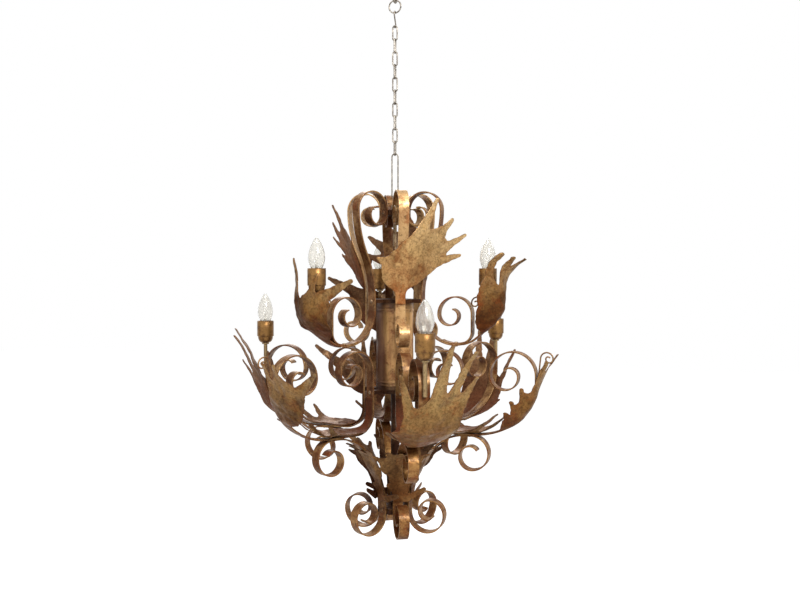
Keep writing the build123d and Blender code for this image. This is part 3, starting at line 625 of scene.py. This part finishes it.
def cut_sheet(solid, inside):
    """Faces of a grid of points kept where it is inside the outline, trimmed along it."""
    points, faces, known = [], [], {}

    def corner(row, column):
        key = (row, column)
        if key not in known:
            known[key] = len(points)
            points.append(solid[row, column])
        return known[key]

    def crossing(one, two):
        key = (min(one, two), max(one, two))
        if key not in known:
            a, b = solid[one], solid[two]
            share = a[3] / (a[3] - b[3])
            known[key] = len(points)
            points.append(a + (b - a) * min(max(share, corner_room), 1 - corner_room))
        return known[key]

    for row in range(inside.shape[0] - 1):
        for column in range(inside.shape[1] - 1):
            ring = [(row, column), (row + 1, column), (row + 1, column + 1), (row, column + 1)]
            state = [inside[spot_at] for spot_at in ring]
            if not any(state):
                continue
            face = []
            for index in range(4):
                here, there = ring[index], ring[(index + 1) % 4]
                if state[index]:
                    face.append(corner(*here))
                if state[index] != state[(index + 1) % 4]:
                    face.append(crossing(here, there))
            if len(face) > 2:
                faces.append(face)
    return np.array(points), faces


def leaf_mesh(name, start, heading, course, wings, palm, prongs, curl, blend, outside, seed):
    """One leaf's sheet: a creased strip along its spine, cut to its outline, dented and curled."""
    chance = random.Random(seed)
    wing_angle, half_width = wings
    palm_place, palm_side, palm_length, palm_width, lean = palm
    spine = spine_points(start, heading, course)
    aside = np.linspace(-half_width, half_width, round(2 * half_width / grid) + 1)
    beyond = np.abs(aside) - crease
    rise = (beyond + np.hypot(beyond, crease_round)) / 2 * math.tan(math.radians(wing_angle))
    left = np.stack([-np.sin(spine[:, 2]), np.cos(spine[:, 2])], axis=1)
    flat_r = spine[:, 0, None] + rise[None] * left[:, 0, None]
    flat_z = spine[:, 1, None] + rise[None] * left[:, 1, None]
    chord = spine[-1, :2] - spine[0, :2]
    chord /= np.linalg.norm(chord)
    u = (flat_r - spine[0, 0]) * chord[0] + (flat_z - spine[0, 1]) * chord[1]
    v = np.broadcast_to(aside[None], u.shape)
    tilt = math.radians(lean)
    palm_u = (u - palm_place) * math.cos(tilt) + (v - palm_side) * math.sin(tilt)
    palm_v = (v - palm_side) * math.cos(tilt) - (u - palm_place) * math.sin(tilt)
    gap = (np.hypot(palm_u / palm_length, palm_v / palm_width) - 1) * palm_width
    stalk = np.maximum(np.abs(v) - stalk_half, u - palm_place)
    lift = np.zeros_like(u)
    for shape in [None] + list(prongs):
        away = stalk
        if shape:
            place_u, place_v, angle, reach, root = shape
            turn = math.radians(angle)
            along = (u - place_u) * math.cos(turn) + (v - place_v) * math.sin(turn)
            across = (v - place_v) * math.cos(turn) - (u - place_u) * math.sin(turn)
            share = np.clip(along / reach, 0, 1)
            across = across - chance.uniform(-prong_sway, prong_sway) * reach * share**2
            width = root + (tip - root) * share
            away = np.hypot(along - np.clip(along, 0, reach), across) - width
            near = np.exp(-((across / (width + ridge_room)) ** 2)) * (along > 0)
            ridge = ridge_rise * np.sin(share * math.pi)
            lift += near * (ridge - chance.uniform(*curl) * np.clip(share - curl_from, 0, 1) ** curl_power)
        mixed = np.clip(0.5 + 0.5 * (gap - away) / blend, 0, 1)
        gap = gap + (away - gap) * mixed - blend * mixed * (1 - mixed)
    free = np.clip((u - weld_length) / weld_fade, 0, 1)
    free = free * free * (3 - 2 * free)
    notches = np.maximum(ripple(u, v, notch_size, chance), 0)
    frayed = fray_depth * ripple(u, v, fray_size, chance)
    gap = gap + free * (frayed + notch_depth * notches + trim)
    from_palm = np.hypot(palm_u / (hollow_reach * palm_length), palm_v / (hollow_reach * palm_width))
    hollow = hollow_depth * (from_palm**2 - 0.5)
    dent = sum(depth * ripple(u, v, size, chance) for size, depth in dent_sizes)
    lift = (lift + np.clip(hollow, *hollow_limits) + dent) * free
    place_r = flat_r + lift * left[:, 0, None]
    place_z = flat_z + lift * left[:, 1, None]
    spread = np.hypot(u, v)
    longest = spread[gap < 0].max()
    solid = np.stack([place_r, -v, place_z, -gap, spread / longest], axis=2)
    points, faces = cut_sheet(solid, gap < 0)
    mesh = bpy.data.meshes.new(name)
    mesh.from_pydata((points[:, :3] * 0.001).tolist(), [], faces)
    inset = mesh.attributes.new("inset", "FLOAT", "POINT")
    inset.data.foreach_set("value", (np.maximum(points[:, 3], 0) * 0.001).astype(np.float32))
    reach = mesh.attributes.new("reach", "FLOAT", "POINT")
    reach.data.foreach_set("value", points[:, 4].astype(np.float32))
    mesh.shade_smooth()
    for finish in (outside, leaf_mauve, leaf_edge):
        mesh.materials.append(finish)
    return mesh


def hang_leaf(name, mesh, azimuth, node):
    """Stand a leaf in its upright plane on the body, in place of its solid."""
    leaf = bpy.data.objects.new(name, mesh)
    bpy.context.collection.objects.link(leaf)
    leaf.rotation_euler[2] = math.radians(azimuth)
    skin = leaf.modifiers.new("sheet", "SOLIDIFY")
    skin.thickness = sheet * 0.001
    skin.offset = 0
    skin.material_offset = 1
    skin.material_offset_rim = 2
    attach(leaf, "chandelier")
    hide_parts(node)


# A cut is the course beyond the strap's bend, the rise and half width of the wings, the palm and
# the prongs. A prong is its place along and aside, its angle, its reach and its root's half width.
# Two of the three leaves are open, and one is folded along its crease.
open_cut = (
    [(0, 38), (78, 54), (0, 96)],
    (14, 135),
    (84, -8, 56, 46, -15),
    [
        (40, 6, 50, 34, 10),
        (95, 14, 17, 109, 15),
        (104, -10, -20, 72, 17),
        (118, -24, -68, 105, 18),
        (84, -34, -50, 46, 14),
    ],
)
folded_cut = (
    [(0, 38), (78, 40), (0, 45), (70, -43), (0, 14)],
    (45, 80),
    (104, 22, 50, 34, 20),
    [(104, 44, 2, 106, 11), (140, 4, -2, 92, 17), (152, 12, 14, 66, 12), (62, 22, 46, 34, 9)],
)
for number, azimuth in enumerate((0, 120, 240), 1):
    free_course, wings, palm, prongs = folded_cut if azimuth == 0 else open_cut
    mesh = leaf_mesh(
        f"upper_leaf_sheet_{number}",
        start=(155.508, -771.852),
        heading=12,
        course=[(77.8, 26)] + free_course,
        wings=wings,
        palm=palm,
        prongs=prongs,
        curl=(0, 9),
        blend=11,
        outside=leaf_brown,
        seed=10 + number,
    )
    hang_leaf(f"upper_leaf_sheet_{number}", mesh, azimuth, f"upper_leaf_{number}")


# Crown leaves: the same sheet, cut and hammered alike, on the three plain straps of the crown.
# Their fan is cut to one side, so that each one leans across the gap to the next strap.
# One of them is bent less along its crease than the others.
leaf_pale = leaf_iron(
    "leaf_pale",
    gilding=0.6,
    gold=tone(200, 161, 106),
    brown=tone(144, 99, 55),
    rust=tone(140, 78, 36),
    dark=tone(72, 43, 22),
    pale=tone(218, 188, 140),
)
for number, azimuth in enumerate((60, 180, 300), 1):
    mesh = leaf_mesh(
        f"crown_leaf_sheet_{number}",
        start=(67.132, -683.752),
        heading=90,
        course=[(0, 14), (216.2, -25.5), (400, 14), (0, 40)],
        wings=(6 if azimuth == 180 else 22, 158),
        palm=(94, -30, 82, 50, -50),
        prongs=[
            (72, 4, 59, 51, 20),
            (112, -14, -32, 124, 20),
            (104, -38, -47, 103, 22),
            (92, -54, -65, 103, 20),
            (78, -52, -79, 87, 18),
        ],
        curl=(-3, 7),
        blend=11,
        outside=leaf_pale,
        seed=20 + number,
    )
    hang_leaf(f"crown_leaf_sheet_{number}", mesh, azimuth, f"crown_leaf_{number}")


# Lower leaves: the largest, of the same sheet, on the outside of all six lower arms.
# They leave the arm where it turns up, and their prongs lean to one side past it.
leaf_gold = leaf_iron(
    "leaf_gold",
    gilding=0.48,
    gold=tone(156, 124, 76),
    brown=tone(110, 78, 42),
    rust=tone(130, 72, 34),
    dark=tone(48, 31, 15),
    pale=tone(180, 152, 108),
)
# Of the three on plain arms, one is folded along its crease.
candle_arm_leaf = (
    [(0, 125), (200, -12)],
    (12, 145),
    (92, -18, 72, 58, -25),
    [
        (42, 6, 52, 60, 15),
        (100, 20, 12, 112, 14),
        (112, -14, -11, 170, 20),
        (108, -36, -17, 150, 17),
        (96, -48, -26, 108, 20),
    ],
)
plain_arm_leaf = (
    [(0, 125)],
    (12, 158),
    (138, -38, 58, 42, -25),
    [
        (66, 4, 52, 36, 9),
        (140, -20, -3, 86, 13),
        (145, -36, -12, 78, 14),
        (140, -58, -60, 104, 19),
        (124, -56, -58, 34, 13),
    ],
)
folded_arm_leaf = (
    [(0, 125)],
    (42, 76),
    (96, 10, 60, 26, 0),
    [
        (56, 14, 58, 34, 8),
        (82, 18, 54, 36, 8),
        (110, 18, 44, 36, 8),
        (140, 0, -1, 92, 14),
        (146, 8, 15, 66, 11),
    ],
)
for number, azimuth in enumerate(range(0, 360, 60), 1):
    plain = azimuth % 120 == 0
    free_course, wings, palm, prongs = plain_arm_leaf if plain else candle_arm_leaf
    if azimuth == 0:
        free_course, wings, palm, prongs = folded_arm_leaf
    mesh = leaf_mesh(
        f"lower_leaf_sheet_{number}",
        start=(203.266, -961.566),
        heading=8,
        course=[(152.8, 22), (114.8, 32)] + free_course,
        wings=wings,
        palm=palm,
        prongs=prongs,
        curl=(0, 9),
        blend=11,
        outside=leaf_brown if plain else leaf_gold,
        seed=30 + number,
    )
    node = "lower_leaves_plain" if plain else "lower_leaves_candle"
    hang_leaf(f"lower_leaf_sheet_{number}", mesh, azimuth, node)


# Inner leaves: the same sheet, bent from the legs of the lower arms round the corner to their tops.
# The rivet that joins arm and base strap goes through their sheet too.
for number, azimuth in enumerate(range(0, 360, 60), 1):
    mesh = leaf_mesh(
        f"inner_leaf_sheet_{number}",
        start=(71.8, -884.252),
        heading=270,
        course=[(0, 32), (41.2, 90), (0, 64), (100, 34), (0, 20)],
        wings=(16, 60),
        palm=(88, 0, 60, 38, 0),
        prongs=[(88, 0, -38, 86, 16), (88, 0, -12, 104, 15), (88, 0, 12, 104, 15), (88, 0, 38, 86, 16)],
        curl=(-8, 0),
        blend=9,
        outside=leaf_brown,
        seed=40 + number,
    )
    hang_leaf(f"inner_leaf_sheet_{number}", mesh, azimuth, "inner_leaves")


# Base leaves: short ragged sheets welded outside the base straps, with a barb on each side.
# Broad and narrow ones take turns, and close the base into a cup above its waist.
base_gold = leaf_iron(
    "base_leaf_gold",
    gilding=0.5,
    gold=tone(150, 110, 64),
    brown=tone(98, 62, 33),
    rust=tone(116, 70, 34),
    dark=tone(42, 24, 13),
    pale=tone(168, 130, 84),
)
broad_prongs = [
    (0, -2, -68, 60, 9),
    (16, 0, 46, 32, 6),
    (86, -4, 180, 104, 36),
    (80, 0, -56, 68, 17),
    (80, 0, -26, 62, 17),
    (80, 0, 4, 54, 16),
    (80, 0, 34, 62, 17),
    (80, 0, 60, 70, 17),
]
narrow_prongs = [
    (0, -2, -68, 58, 8),
    (16, 0, 46, 24, 6),
    (84, 0, -32, 58, 11),
    (84, 0, 0, 58, 12),
    (84, 0, 32, 58, 11),
]
for number, azimuth in enumerate(range(0, 360, 60), 1):
    broad = azimuth % 120 == 60
    mesh = leaf_mesh(
        f"base_leaf_sheet_{number}",
        start=(38.512, -1112.758),
        heading=85,
        course=[(187.2, -34), (60, -30)],
        wings=(0, 68 if broad else 64),
        palm=(92, 0, 36, 46, 0) if broad else (84, 0, 44, 25, 0),
        prongs=broad_prongs if broad else narrow_prongs,
        curl=(0, 6),
        blend=6,
        outside=base_gold,
        seed=50 + number,
    )
    hang_leaf(f"base_leaf_sheet_{number}", mesh, azimuth, "base_leaves")


# Tendrils: thin soft wire, its end coiled round pliers, welded inside the bowls of the upper arms
# and outside the stems of the plain lower arms, and browned with the straps.
tendril_iron = rubbed_iron(
    "tendril_iron",
    size=44.0,
    gilding=0.46,
    gold=tone(150, 118, 78),
    brown=tone(104, 66, 40),
    rust=tone(118, 62, 32),
    dark=tone(52, 31, 20),
    edge=tone(190, 158, 114),
)
dress(["tendrils"], tendril_iron)


# Candle cups: a spun bowl with a sleeve pushed over it and a rolled rim, on a flange of the stem.
# They are brushed round on the lathe and gilded, with brown left in the brush marks.
def smooth_profile(points, count):
    """A rounder profile through the given radius and height pairs."""
    knots = np.array([points[0]] + list(points) + [points[-1]], float)
    rows = []
    for index in range(1, len(knots) - 2):
        before, here, there, after = knots[index - 1 : index + 3]
        for share in np.linspace(0, 1, count, endpoint=False):
            rows.append(
                0.5
                * (
                    2 * here
                    + (there - before) * share
                    + (2 * before - 5 * here + 4 * there - after) * share**2
                    + (3 * here - before - 3 * there + after) * share**3
                )
            )
    rows.append(knots[-2])
    return [tuple(row) for row in rows]


def turned_mesh(name, profile, closed, finish, steps=48):
    """A mesh turned from a profile of radius and height in millimetres."""
    turns = [math.tau * step / steps for step in range(steps)]
    points = [round_point(radius, turn, height) for radius, height in profile for turn in turns]
    mesh = bpy.data.meshes.new(name)
    mesh.from_pydata(points, [], ring_faces(len(profile), steps, closed))
    mesh.shade_smooth()
    mesh.materials.append(finish)
    return mesh


def stand(name, mesh, spot, body):
    """Stand a piece at its place, riding on a body."""
    piece = bpy.data.objects.new(name, mesh)
    bpy.context.collection.objects.link(piece)
    piece.location = spot
    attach(piece, body)
    return piece


cup_gold, tree, shader = new_finish("brushed_gold")
spot = place(tree, "ShaderNodeTexCoord").outputs["Object"]
stretch = place(tree, "ShaderNodeMapping", {"Vector": spot, "Scale": (12.0, 12.0, 900.0)})
brush = place(
    tree,
    "ShaderNodeTexNoise",
    {"Vector": stretch.outputs["Vector"], "Scale": 3.0, "Detail": 5.0},
)
tarnish = add_patches(tree, 55.0, 0.45, 0.68)
ground = mix_tones(tree, brush.outputs["Fac"], tone(102, 69, 34), tone(160, 120, 66))
coat = mix_tones(tree, tarnish.outputs["Mask"], ground.outputs["Result"], tone(88, 58, 32))
bump = add_bump(tree, brush.outputs["Fac"], 0.2, 0.0005)
roughness = ramp(tree, tarnish.outputs["Mask"], to=(0.36, 0.52))
feed(
    tree,
    shader,
    {
        "Metallic": 0.75,
        "Base Color": coat.outputs["Result"],
        "Roughness": roughness.outputs["Result"],
        "Normal": bump.outputs["Normal"],
    },
)

cup_profile = [
    (4.4, 0.2),
    (8.2, 0.2),
    (10.8, 1.1),
    (13.6, 3.4),
    (15.6, 6.8),
    (16.7, 10.6),
    (17.0, 14.0),
    (17.0, 14.9),
    (18.4, 15.1),
    (18.9, 15.5),
    (19.0, 16.2),
    (19.0, 33.0),
    (19.0, 47.6),
    (18.5, 48.2),
    (18.5, 48.8),
    (19.0, 49.4),
    (18.9, 50.2),
    (18.3, 50.5),
    (17.8, 50.2),
    (17.6, 49.0),
    (17.6, 16.4),
    (15.6, 15.2),
    (14.6, 9.6),
    (11.4, 4.0),
    (8.0, 1.9),
    (4.4, 1.8),
]
cup_mesh = turned_mesh("candle_cup", cup_profile, closed=True, finish=cup_gold)
upper_tier, lower_tier = (0.208582, -0.657752), (0.31875, -0.778161)
candles = [(azimuth, *upper_tier) for azimuth in (0, 120, 240)]
candles += [(azimuth, *lower_tier) for azimuth in (60, 180, 300)]
candle_spots = []
for number, (azimuth, radius, foot) in enumerate(candles, 1):
    turn = math.radians(azimuth)
    candle_spots.append((radius * math.cos(turn), radius * math.sin(turn), foot))
    cup = stand(f"cup_{number}", cup_mesh, candle_spots[-1], "chandelier")
    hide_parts("candle_cups")


# Candle stems: drawn tube, welded upright to the end of each arm, with a turned flange on top.
# The wire would come up inside them, and they keep more of the bare metal than the straps do.
stem_metal = rubbed_iron(
    "stem_metal",
    size=52.0,
    gilding=0.56,
    gold=tone(158, 134, 96),
    brown=tone(104, 76, 48),
    rust=tone(110, 66, 36),
    dark=tone(52, 34, 22),
    edge=tone(190, 164, 122),
)
dress(["candle_stems"], stem_metal)


# Lampholders: moulded thermoplastic sleeves, pushed over the stems and sunk in the cups.
# Each is bored for the screw cap of its bulb, and its matt skin has a fine grain from the mould.
holder_black, tree, shader = new_finish("holder_black")
cast = add_patches(tree, 260.0, 0.4, 0.6)
tint = mix_tones(tree, cast.outputs["Mask"], tone(44, 41, 38), tone(58, 54, 50))
bump = add_bump(tree, cast.outputs["Grain"], 0.15, 0.0003)
feed(
    tree,
    shader,
    {
        "Roughness": 0.55,
        "Base Color": tint.outputs["Result"],
        "Normal": bump.outputs["Normal"],
    },
)
dress(["lampholders"], holder_black)


# Bulbs: blown candle envelopes, clear but faintly milky, on rolled brass screw caps.
# Two lead wires rise from the glass mount inside and hold the coiled filament between them.
glass, tree, shader = new_finish("clear_glass")
waver = place(
    tree,
    "ShaderNodeTexNoise",
    {"Vector": place(tree, "ShaderNodeTexCoord").outputs["Object"], "Scale": 40.0, "Detail": 1.0},
)
bump = add_bump(tree, waver.outputs["Fac"], 0.05, 0.001)
feed(
    tree,
    shader,
    {
        "Base Color": tone(247, 245, 240),
        "Roughness": 0.08,
        "IOR": 1.45,
        "Transmission Weight": 0.9,
        "Normal": bump.outputs["Normal"],
    },
)

cap_brass, tree, shader = new_finish("cap_brass")
dull = add_patches(tree, 220.0, 0.4, 0.65)
coat = mix_tones(tree, dull.outputs["Mask"], tone(214, 184, 118), tone(168, 132, 74))
feed(tree, shader, {"Metallic": 1.0, "Roughness": 0.32, "Base Color": coat.outputs["Result"]})

wire_grey, tree, shader = new_finish("lead_wire")
oxide = add_patches(tree, 900.0, 0.4, 0.6)
coat = mix_tones(tree, oxide.outputs["Mask"], tone(196, 192, 184), tone(160, 154, 146))
feed(tree, shader, {"Metallic": 1.0, "Roughness": 0.4, "Base Color": coat.outputs["Result"]})

envelope = [
    (8.7, 0.4),
    (9.2, 3.0),
    (11.3, 8.0),
    (14.0, 14.0),
    (16.2, 20.0),
    (17.3, 26.5),
    (17.35, 32.0),
    (16.3, 40.5),
    (14.0, 49.0),
    (10.8, 57.0),
    (7.4, 63.6),
    (4.4, 68.3),
    (2.0, 71.0),
    (0.02, 71.8),
]
glass_wall, foot_gap, crown_inside, pole = 0.7, 0.2, 71.1, 0.01
outer = smooth_profile(envelope, 4)
hollow = [(max(r - glass_wall, pole), min(z + foot_gap, crown_inside)) for r, z in envelope]
inner = smooth_profile(hollow, 4)
glass_mesh = turned_mesh("bulb_glass", outer + inner[::-1], closed=True, finish=glass)
mount = [(7.6, 0.8), (5.2, 4.0), (3.4, 9.0), (2.6, 16.0), (2.4, 22.0), (1.4, 24.0), (0.02, 24.4)]
mount_mesh = turned_mesh("bulb_mount", smooth_profile(mount, 3), closed=False, finish=glass, steps=24)
cap_profile = [(0.02, -20.0), (3.2, -19.6), (4.4, -17.4), (6.2, -16.2)]
cap_pitch, cap_thread = 3.2, ((6.3, -15.4), (6.85, -14.4), (6.85, -13.8), (6.3, -12.8))
for ridge in range(4):
    cap_profile += [(radius, height + cap_pitch * ridge) for radius, height in cap_thread]
cap_profile += [(6.6, -2.0), (6.8, -0.4), (8.8, 0.2), (8.9, 1.6), (8.7, 1.7)]
cap_mesh = turned_mesh("bulb_cap", cap_profile, closed=False, finish=cap_brass)


def bent_wire(name, points, radius):
    """A thin round wire along a smooth curve that points in millimetres lead."""
    curve = bpy.data.curves.new(name, "CURVE")
    curve.dimensions = "3D"
    # The wire's radius is on its points, because their radius is added to the curve's box.
    curve.bevel_depth = 1.0
    curve.bevel_resolution = 2
    spline = curve.splines.new("NURBS")
    spline.points.add(len(points) - 1)
    for point, (x, y, z) in zip(spline.points, points):
        point.co = (x * 0.001, y * 0.001, z * 0.001, 1)
        point.radius = radius * 0.001
    spline.use_endpoint_u = True
    curve.materials.append(wire_grey)
    return curve


lead_run, lead_radius = [(1, 0, 20), (1.6, 0, 26), (4.5, 0, 31), (7, 0, 36), (7.2, 0, 39)], 0.28
lead_left = bent_wire("lead_left", [(-x, y, z) for x, y, z in lead_run], lead_radius)
lead_right = bent_wire("lead_right", lead_run, lead_radius)
coil_turns, coil_steps, coil_radius, coil_arch = 20, 120, 0.5, 4
filament_half, _, filament_level = lead_run[-1]
coil = []
for step in range(coil_steps + 1):
    share = step / coil_steps
    swing = math.tau * coil_turns * share
    level = filament_level + coil_arch * math.sin(math.pi * share)
    coil.append(
        (
            filament_half * (2 * share - 1),
            coil_radius * math.cos(swing),
            level + coil_radius * math.sin(swing),
        )
    )
filament = bent_wire("filament", coil, 0.12)
bulb_seat = 0.042
for number, (x, y, foot) in enumerate(candle_spots, 1):
    spot = (x, y, foot + bulb_seat)
    body = f"bulb_{number}"
    lamp = stand(f"glass_{number}", glass_mesh, spot, body)
    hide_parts(body)
    for part, data in (
        ("mount", mount_mesh),
        ("cap", cap_mesh),
        ("lead_left", lead_left),
        ("lead_right", lead_right),
        ("filament", filament),
    ):
        piece = stand(f"{part}_{number}", data, spot, body)


# Floor, light and camera: a pale floor well below the lamp, white all round and soft lamps.
# The camera looks from a little above the column's top, as in the photo.
def rays_that_look(tree):
    """One for rays that show a thing to the camera, straight, mirrored or through glass, else zero."""
    path = place(tree, "ShaderNodeLightPath")
    seen = reckon(tree, "MAXIMUM", path.outputs["Is Camera Ray"], path.outputs["Is Glossy Ray"])
    return reckon(tree, "MAXIMUM", seen.outputs[0], path.outputs["Is Transmission Ray"])


floor_mesh = bpy.data.meshes.new("floor")
floor_half, floor_level = 9, -1.75
sides = ((-1, -1), (1, -1), (1, 1), (-1, 1))
floor_corners = [(x * floor_half, y * floor_half, floor_level) for x, y in sides]
floor_mesh.from_pydata(floor_corners, [], [(0, 1, 2, 3)])
floor = bpy.data.objects.new("floor", floor_mesh)
bpy.context.collection.objects.link(floor)
floor_white, tree, shader = new_finish("floor_white")
feed(tree, shader, {"Base Color": (0.6, 0.6, 0.6, 1), "Roughness": 0.9, "Emission Color": (1, 1, 1, 1)})
seen = rays_that_look(tree)
spot = place(tree, "ShaderNodeTexCoord").outputs["Object"]
flat = place(tree, "ShaderNodeVectorMath", {0: spot, 1: (1, 1, 0)}, operation="MULTIPLY")
away = place(tree, "ShaderNodeVectorMath", {0: flat.outputs["Vector"]}, operation="LENGTH")
paler = ramp(tree, away.outputs["Value"], within=(0.5, 1.5), to=(0.6, 0.95))
glow = reckon(tree, "MULTIPLY", seen.outputs[0], paler.outputs["Result"])
tree.links.new(glow.outputs[0], shader.inputs["Emission Strength"])
floor_mesh.materials.append(floor_white)

world = bpy.data.worlds.new("white_room")
bpy.context.scene.world = world
world.use_nodes = True
tree = world.node_tree
back = tree.nodes["Background"]
back.inputs["Color"].default_value = (1, 1, 1, 1)
seen = rays_that_look(tree)
level = ramp(tree, seen.outputs[0], to=(0.035, 1.0))
tree.links.new(level.outputs["Result"], back.inputs["Strength"])

lit_middle = Vector((0, 0, -0.8))
for name, spot, size, power in (
    ("key_softbox", (1.55, -1.75, 0.7), 1.0, 87),
    ("fill_softbox", (-1.3, -2.3, -0.3), 1.4, 7),
    ("rim_softbox", (-1.2, 2.2, 0.4), 1.0, 16),
    ("top_softbox", (0.2, -0.7, 1.3), 1.0, 26),
):
    lamp = bpy.data.lights.new(name, "AREA")
    lamp.size = size
    lamp.energy = power
    holder = bpy.data.objects.new(name, lamp)
    bpy.context.collection.objects.link(holder)
    holder.location = spot
    holder.rotation_euler = (lit_middle - Vector(spot)).to_track_quat("-Z", "Y").to_euler()

camera = bpy.data.cameras.new("camera")
picture_width, lens_pixels = 800, 900
camera.sensor_width = 36
camera.lens = camera.sensor_width * lens_pixels / picture_width
viewer = bpy.data.objects.new("camera", camera)
bpy.context.collection.objects.link(viewer)
view_turn, view_away, view_level = math.radians(20), 1.971, -0.615
look_down, look_right = math.radians(1.78), math.radians(0.318)
viewer.location = (view_away * math.sin(view_turn), -view_away * math.cos(view_turn), view_level)
viewer.rotation_euler = (math.pi / 2 - look_down, 0, view_turn - look_right)
bpy.context.scene.camera = viewer
bpy.context.scene.view_settings.view_transform = "Standard"
